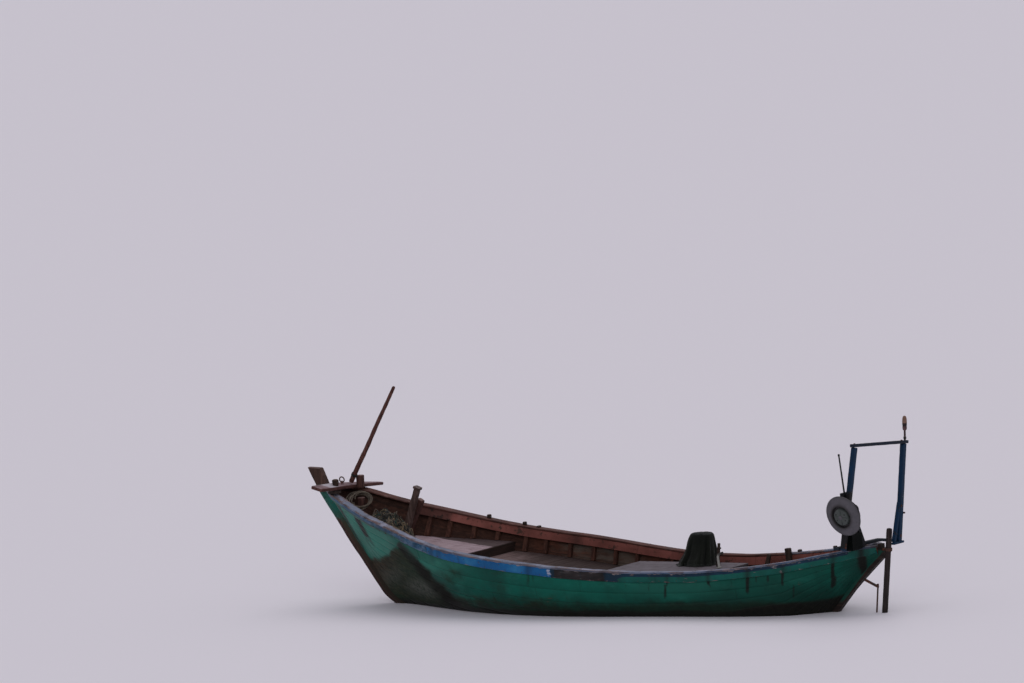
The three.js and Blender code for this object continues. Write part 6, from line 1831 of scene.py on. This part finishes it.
def darken(o, amount):
    """Darkens an object where amount(point) says so."""
    me = o.data
    layer = me.attributes.get("dirt") or me.attributes.new("dirt", "FLOAT", "POINT")
    for i, q in enumerate(me.vertices):
        layer.data[i].value = max(layer.data[i].value, float(amount(q.co)))
    return o


beam_z = lambda y: 0.903 + 0.031 * (y + 0.33) / 1.075 if y > -0.33 else 0.903 - 0.068 * (-0.33 - y) / 0.405
base = post("frame_base_beam_timber", (beam_x, 0.745, 0.934), (beam_x, -0.735, 0.8913), 0.078, 0.04, [MAT["base_dark"], MAT["rust"]], up=(0, 0, 1), corner=0.007, wobble=0.0015, steps=56, swap=["frame_base_beam"], seed=12,
            extra=bolts([(beam_x + 0.0395, 0.69, 0.9325), (beam_x + 0.0395, -0.66, 0.8935), (beam_x + 0.0395, 0.26, 0.92), (beam_x + 0.0395, -0.57, 0.896)], (1, 0, 0), r=0.009))
for q in base.data.vertices:
    y = max(-0.735, min(0.745, q.co.y))
    q.co.z += beam_z(y) - (0.8913 + 0.0427 * (y + 0.735) / 1.48)
base.data.update()
d_port = np.array(on_frame(0.507, 2.224)) - np.array(on_frame(0.694, 0.905))
port_post = post("frame_port_post_timber", on_frame(0.694, 0.905), on_frame(0.507, 2.229), 0.075, 0.06, [MAT["frame_blue"], MAT["rust"]], corner=0.008, wobble=0.0018, steps=40, swap=["frame_port_post"], seed=13,
     extra=bolts([tuple(np.array(on_frame(0.694, 0.905)) + d_port * k + np.array([-0.0305, 0, 0])) for k in (0.03, 0.06)], (-1, 0, -0.11)))
# the post is darker where the hauler is bolted on, and at the foot
darken(port_post, lambda q: 0.93 * float(smooth(1.49, 1.51, q.z) * smooth(1.675, 1.65, q.z) + smooth(1.24, 1.2, q.z) * smooth(0.90, 0.95, q.z)))


def starboard_post():
    parts = []
    def bar_part(a, b, w0, d0, w1, d1, seed):
        o = post("tmp", a, b, w0, d0, MAT["frame_blue"], w1=w1, d1=d1, corner=0.007, wobble=0.0018, steps=34, seed=seed)
        v = [tuple(q.co) for q in o.data.vertices]
        f = [tuple(p.vertices) for p in o.data.polygons]
        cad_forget(o)
        return v, f, {}, 0
    parts.append(bar_part(on_frame(-0.676, 0.836), on_frame(-0.707, 2.111), 0.075, 0.06, 0.075, 0.06, 14))
    parts.append(bar_part(on_frame(-0.555, 0.836), on_frame(-0.66, 1.35), 0.045, 0.05, 0.05, 0.05, 15))
    v, f = plank_box([(-4.0, -0.755, 0.808), (-3.944, -0.755, 0.808), (-3.944, -0.755, 0.836), (-4.0, -0.755, 0.836)], [(-4.0, -0.52, 0.808), (-3.944, -0.52, 0.808), (-3.944, -0.52, 0.836), (-4.0, -0.52, 0.836)], 0.004)
    parts.append((v, f, {}, 0))
    # a small cleat on the post's outer face
    c = on_frame(-0.7, 1.2)
    v, f = plank_box([(c[0] - 0.045, -0.745, 1.19), (c[0] - 0.045, -0.722, 1.19), (c[0] - 0.045, -0.722, 1.212), (c[0] - 0.045, -0.745, 1.212)], [(c[0] + 0.05, -0.745, 1.19), (c[0] + 0.05, -0.722, 1.19), (c[0] + 0.05, -0.722, 1.212), (c[0] + 0.05, -0.745, 1.212)], 0.005)
    parts.append((v, f, {}, 1))
    parts += bolts([(on_frame(0, 0.9)[0] - 0.0305, -0.678, 0.91), (on_frame(0, 1.3)[0] - 0.03, -0.668, 1.3)], (-1, 0, -0.11))
    V, F, attrs, idx = join_parts(parts)
    return make("frame_starboard_post_timber", V, F, [MAT["frame_blue"], MAT["rust"]], index=idx, swap=["frame_starboard_post"], sharp=42)


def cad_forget(o):
    """Takes a helper object away again before anything else knows of it."""
    me = o.data
    bpy.data.objects.remove(o)
    bpy.data.meshes.remove(me)


starboard_post()
post("frame_crossbar_timber", on_frame(0.575, 2.262), on_frame(-0.795, 2.125), 0.06, 0.04, [MAT["frame_dark"], MAT["rust"]], up=(0, 0, 1), corner=0.007, wobble=0.002, steps=40, swap=["frame_crossbar"], seed=16,
     extra=bolts([tuple(np.array(on_frame(0.51, 2.2755))), tuple(np.array(on_frame(-0.66, 2.1585)))], (0, 0, 1)))

LAMP_AT, LAMP_AXIS = on_frame(-0.745, 2.152), (-0.05, 0, 1)
lamp_rows = [(0, 0.013), (0.008, 0.014), (0.125, 0.0135), (0.132, 0.018), (0.138, 0.026), (0.15, 0.0285), (0.178, 0.029), (0.19, 0.0272), (0.196, 0.0295), (0.225, 0.0305), (0.255, 0.0305), (0.262, 0.0285), (0.272, 0.0298), (0.292, 0.0262), (0.308, 0.021), (0.318, 0.011), (0.3195, 0.003)]
v, f = lathe(LAMP_AT, LAMP_AXIS, lamp_rows, 32)
v, f = close_ends(v, f, 32)
hgt = (v[:, 2] - LAMP_AT[2])
make("frame_lamp_head", v, f, MAT["lamp"], attrs={"dirt": np.clip(np.exp(-(((hgt - 0.192) / 0.014) ** 2)) * 0.9 + 0.55 * (hgt < 0.128), 0, 1)}, swap=["frame_lamp"], sharp=40)
turns("lamp_seizing", tuple(Vector(LAMP_AT) + Vector((-0.05, 0, 1)).normalized() * 0.03), LAMP_AXIS, 0.0145, 4, 0.006, MAT["twine_dark"])

# ------------------------------------------------------------ net hauler
SHEAVE_AT = np.array([-4.104, 0.849, 1.384])
SHEAVE_AXIS = np.array([0.1166, 0.9635, -0.2427])
SHEAVE_AXIS /= np.linalg.norm(SHEAVE_AXIS)


def along(d):
    return tuple(SHEAVE_AT + SHEAVE_AXIS * d)


def sheave():
    # [along the axis, radius, finish of the strip that starts here]
    rows = [
        (-0.1215, 0.02, 1), (-0.1215, 0.06, 1), (-0.117, 0.12, 1), (-0.1115, 0.188, 1), (-0.107, 0.195, 1), (-0.1005, 0.195, 1), (-0.088, 0.155, 1), (-0.074, 0.122, 1), (-0.058, 0.113, 1), (-0.046, 0.114, 1),
        (-0.034, 0.158, 1), (-0.02, 0.228, 1), (-0.012, 0.2685, 0), (-0.006, 0.2722, 0), (0.001, 0.2725, 0), (0.0065, 0.2695, 0), (0.0105, 0.2635, 0), (0.0185, 0.245, 0), (0.0285, 0.22, 0), (0.038, 0.194, 0), (0.0455, 0.171, 0), (0.0495, 0.157, 0), (0.0492, 0.151, 1), (0.044, 0.1475, 1),
        (0.026, 0.143, 1), (0.0185, 0.139, 1), (0.018, 0.119, 2), (0.03, 0.1155, 2), (0.05, 0.111, 2), (0.0555, 0.106, 2), (0.0575, 0.095, 2), (0.0585, 0.062, 2), (0.0605, 0.058, 2), (0.0615, 0.03, 2), (0.0615, 0.008, 2),
    ]
    n = 80
    v, f = lathe(SHEAVE_AT, SHEAVE_AXIS, [(s, r) for s, r, _ in rows], n)
    idx = []
    for i in range(len(rows) - 1):
        idx += [rows[i][2]] * n
    v, f = close_ends(v, f, n)
    idx += [1, 2]
    # painted shade: a dark ring in the recess round the hub; dirt at the rim and on the back
    darken = np.repeat([0.85 * math.exp(-(((r - 0.158) / 0.015) ** 2)) + 0.4 * math.exp(-(((r - 0.272) / 0.009) ** 2)) if d > -0.02 else 0.3 for d, r, _ in rows], n)
    darken = np.clip(darken + 0.12 * wob2(v[:, 0] * 9, v[:, 2] * 9, 6, 1.0, 3), 0, 1)
    parts = [(v, f, {"dirt": darken}, idx)]
    ax = Vector(SHEAVE_AXIS)
    u = ax.orthogonal().normalized()
    w_ = ax.cross(u)
    for k in range(6):
        a = 2 * math.pi * k / 6 + 0.3
        p = Vector(along(0.0575)) + (u * math.cos(a) + w_ * math.sin(a)) * 0.08
        bv, bf = hexbolt(p, ax, 0.0105, 0.0035)
        parts.append((bv, bf, {"dirt": 0.3}, 1))
    # four raised arms and a boss on the hub's face
    for k in range(4):
        a = math.pi / 2 * k + 0.75
        rad = u * math.cos(a) + w_ * math.sin(a)
        side_ = u * -math.sin(a) + w_ * math.cos(a)
        lo = [Vector(along(0.054)) + rad * 0.02 + side_ * q * 0.011 + ax * h for q, h in ((-1, 0.0), (1, 0.0), (1, 0.0145), (-1, 0.0145))]
        hi = [Vector(along(0.052)) + rad * 0.101 + side_ * q * 0.0085 + ax * h for q, h in ((-1, 0.0), (1, 0.0), (1, 0.011), (-1, 0.011))]
        v2, f2 = plank_box([tuple(c) for c in lo], [tuple(c) for c in hi], 0.002)
        parts.append((v2, f2, {"dirt": 0.15}, 2))
    v2, f2 = close_ends(*lathe(along(0.058), SHEAVE_AXIS, [(0, 0.03), (0.008, 0.0295), (0.0125, 0.026), (0.0135, 0.02), (0.011, 0.0185), (0.011, 0.004)], 28), 28)
    parts.append((v2, f2, {"dirt": 0.1}, 0))
    # shallow ribs across the groove's floor, that grip the net
    for k in range(12):
        a = 2 * math.pi * k / 12
        rad = u * math.cos(a) + w_ * math.sin(a)
        side_ = u * -math.sin(a) + w_ * math.cos(a)
        lo = [Vector(along(-0.098)) + rad * 0.1885 + side_ * q * 0.004 + ax * h for q, h in ((-1, 0.0), (1, 0.0), (1, 0.005), (-1, 0.005))]
        hi = [Vector(along(-0.07)) + rad * 0.118 + side_ * q * 0.006 + ax * h for q, h in ((-1, 0.0), (1, 0.0), (1, 0.007), (-1, 0.007))]
        v2, f2 = plank_box([tuple(c) for c in lo], [tuple(c) for c in hi], 0.0015)
        parts.append((v2, f2, {"dirt": 0.2}, 1))
    V, F, attrs, idx = join_parts(parts)
    return make("hauler_sheave_turned", V, F, [MAT["sheave"], MAT["sheave_dark"], MAT["sheave_hub"]], body="sheave", attrs=attrs, index=idx, swap=["hauler_sheave"], sharp=32)


sheave()
finish_node("hauler_motor", MAT["steel_dark"], 0.004, 3)
finish_node("hauler_leg", MAT["steel_dark"], 0.005, 3)
finish_node("hauler_lever", MAT["steel_dark"], 0.003, 2)
finish_node("hauler_drive", MAT["drive"], 0.012, 3)
v, f = lathe((-3.947, 0.62, 2.128), (0, 0, 1), [(0, 0.004), (0.002, 0.01), (0.008, 0.0135), (0.016, 0.0145), (0.024, 0.013), (0.029, 0.008), (0.031, 0.002)], 24)
v, f = close_ends(v, f, 24)
make("hauler_lever_knob", v, f, MAT["steel_dark"], sharp=None)
V, F, attrs, idx = join_parts(
    [(*close_ends(*lathe(along(-0.2705), SHEAVE_AXIS, [(-0.012, 0.01), (-0.012, 0.026), (-0.008, 0.032), (0.001, 0.034)], 24), 24), {}, 0)]
    + [(*close_ends(*lathe(along(-0.186 - k * 0.019), SHEAVE_AXIS, [(0, 0.054), (0, 0.0615), (0.004, 0.063), (0.009, 0.0615), (0.009, 0.054)], 40), 40), {}, 0) for k in range(4)]
)
make("hauler_motor_fins", V, F, MAT["steel_dark"], sharp=35)
V, F, attrs, idx = join_parts([(v, f, {}, 0) for v, f in [hexbolt((-3.942, y, z), (1, 0, 0), 0.011, 0.008) for y in (0.39, 0.57) for z in (0.93, 1.06)]] + [(*close_ends(*lathe((-3.942, 0.48, 0.995), (1, 0, 0), [(0, 0.05), (0.014, 0.048), (0.018, 0.042), (0.02, 0.02), (0.02, 0.004)], 28), 28), {}, 0)])
make("hauler_drive_cover", V, F, MAT["drive"], sharp=35)

# ------------------------------------------------------------ stern irons, rudder, propeller
finish_node("stern_irons", MAT["rust"], 0.003, 2)
finish_node("rudder_strap", MAT["rust"], 0.002, 2)
finish_node("stern_tube", MAT["bronze"], 0.002, 2)
finish_node("propeller_shaft", MAT["steel"], 0.002, 2)
finish_node("propeller", MAT["bronze"], 0.0015, 2)
finish_node("rudder_blade", MAT["rudder"], 0.007, 3)
LOW, HIGH = np.array([-4.028, 0, -0.61]), np.array([-4.26, 0, 1.105])
axis_ = (HIGH - LOW) / np.linalg.norm(HIGH - LOW)
Ls = np.linalg.norm(HIGH - LOW)
rows_ = [(0.0, 0.03), (0.006, 0.036)] + [(d, 0.0378 + 0.0006 * math.sin(d * 31) - (0.0 if d < Ls - 0.3 else 0.0)) for d in np.linspace(0.02, Ls - 0.03, 60)] + [(Ls - 0.012, 0.0365), (Ls - 0.004, 0.03), (Ls, 0.018)]
v, f = lathe(tuple(LOW), tuple(axis_), rows_, 28)
v, f = close_ends(v, f, 28)
make("rudder_stock_spar", v, f, MAT["rudder"], body="rudder", swap=["rudder_stock"], sharp=50, attrs={"dirt": np.clip(smooth(0.2, 0.0, v[:, 2]) * 0.7, 0, 1)})
blade = []
stock_x = lambda z: LOW[0] + (HIGH[0] - LOW[0]) * (z - LOW[2]) / (HIGH[2] - LOW[2])
for z in (-0.2, -0.46):
    for s in (1, -1):
        lo = [(stock_x(z) - 0.034, s * 0.0395, z - 0.02), (stock_x(z) - 0.034, s * 0.0395, z + 0.02), (stock_x(z) - 0.034, s * 0.0335, z + 0.02), (stock_x(z) - 0.034, s * 0.0335, z - 0.02)]
        mid = [(stock_x(z) - 0.07, s * 0.0265, z - 0.018), (stock_x(z) - 0.07, s * 0.0265, z + 0.018), (stock_x(z) - 0.07, s * 0.0205, z + 0.018), (stock_x(z) - 0.07, s * 0.0205, z - 0.018)]
        hi = [(stock_x(z) - 0.27, s * 0.0262, z - 0.014), (stock_x(z) - 0.27, s * 0.0262, z + 0.014), (stock_x(z) - 0.27, s * 0.0202, z + 0.014), (stock_x(z) - 0.27, s * 0.0202, z - 0.014)]
        v, f = ring_loft([lo, mid, hi])
        blade.append((v, f, {}, 0))
        blade += [(*hexbolt((stock_x(z) - d, s * 0.026, z), (0, s, 0), 0.008, 0.005), {}, 0) for d in (0.12, 0.2)]
V, F, attrs, idx = join_parts(blade)
make("rudder_blade_straps", V, F, MAT["rust"], body="rudder", sharp=35)

# ------------------------------------------------------------ fastenings along the rails
def rail_fastenings(side):
    sign = 1 if side == "port" else -1
    parts = []
    r = random.Random(50 + sign)
    xs = np.arange(-3.9, 4.2, 0.27)
    sy, sz, k = sheer(xs)
    for x, y, z, kk in zip(xs, sy, sz, k):
        for d in (0.004, -0.05):
            v, f = lathe((x + r.uniform(-0.02, 0.02), sign * (y + d / kk), z + 0.0258), (0, 0, 1), [(0, 0.0065), (0.0016, 0.0062), (0.0026, 0.004), (0.0028, 0.001)], 10)
            v, f = close_ends(v, f, 10)
            parts.append((v, f, {}, 0))
    _, _, _, _, L = section(xs, np.array([0.0, 1.0]))
    top = strake_foot(L)
    for q in (0.2, 0.8):
        U = top + q * (1 - top)
        Y, Z, ny, nz, _ = section(xs, U[:, None])
        for x, y, z, a, b in zip(xs, Y[:, 0], Z[:, 0], ny[:, 0], nz[:, 0]):
            kk = max(a, 0.55)
            v, f = lathe((x + r.uniform(-0.03, 0.03) + (0.1 if q > 0.5 else 0), sign * (y + 0.0195 / kk), z), (0, sign * a, b), [(0, 0.0065), (0.0016, 0.006), (0.0026, 0.003), (0.0028, 0.001)], 10)
            v, f = close_ends(v, f, 10)
            parts.append((v, f, {}, 0))
    V, F, attrs, idx = join_parts(parts)
    return make(f"{side}_rail_nails", V, F, MAT["rust"], sharp=None)


for side in ("port", "starboard"):
    rail_fastenings(side)

# ============================================================ floor, light
def floor():
    m = Mat("studio_floor", 0.65, 0.15)
    m.b.inputs["Base Color"].default_value = lin(238, 236, 243)
    me = bpy.data.meshes.new("studio_floor")
    me.from_pydata([(-400, -400, 0), (400, -400, 0), (400, 400, 0), (-400, 400, 0)], [], [(0, 1, 2, 3)])
    me.materials.append(m.done())
    o = bpy.data.objects.new("studio_floor", me)
    scene.collection.objects.link(o)


floor()
world = bpy.data.worlds.new("studio")
scene.world = world
world.use_nodes = True
back = world.node_tree.nodes["Background"]
back.inputs["Color"].default_value = (0.88, 0.85, 0.93, 1)
back.inputs["Strength"].default_value = 0.42


def sun(name, comes_from, strength, spread, colour):
    d = bpy.data.lights.new(name, "SUN")
    d.energy, d.angle, d.color = strength, math.radians(spread), colour
    o = bpy.data.objects.new(name, d)
    scene.collection.objects.link(o)
    o.rotation_euler = Vector(comes_from).to_track_quat("Z", "Y").to_euler()


sun("overhead", (0.1, -0.35, 1.0), 0.78, 60, (1.0, 0.95, 0.96))
sun("camera_side", (-0.55, 0.9, 0.55), 0.5, 40, (0.97, 0.97, 1.0))
scene.view_settings.view_transform = "Standard"

# ============================================================ the end
bpy.context.view_layer.update()
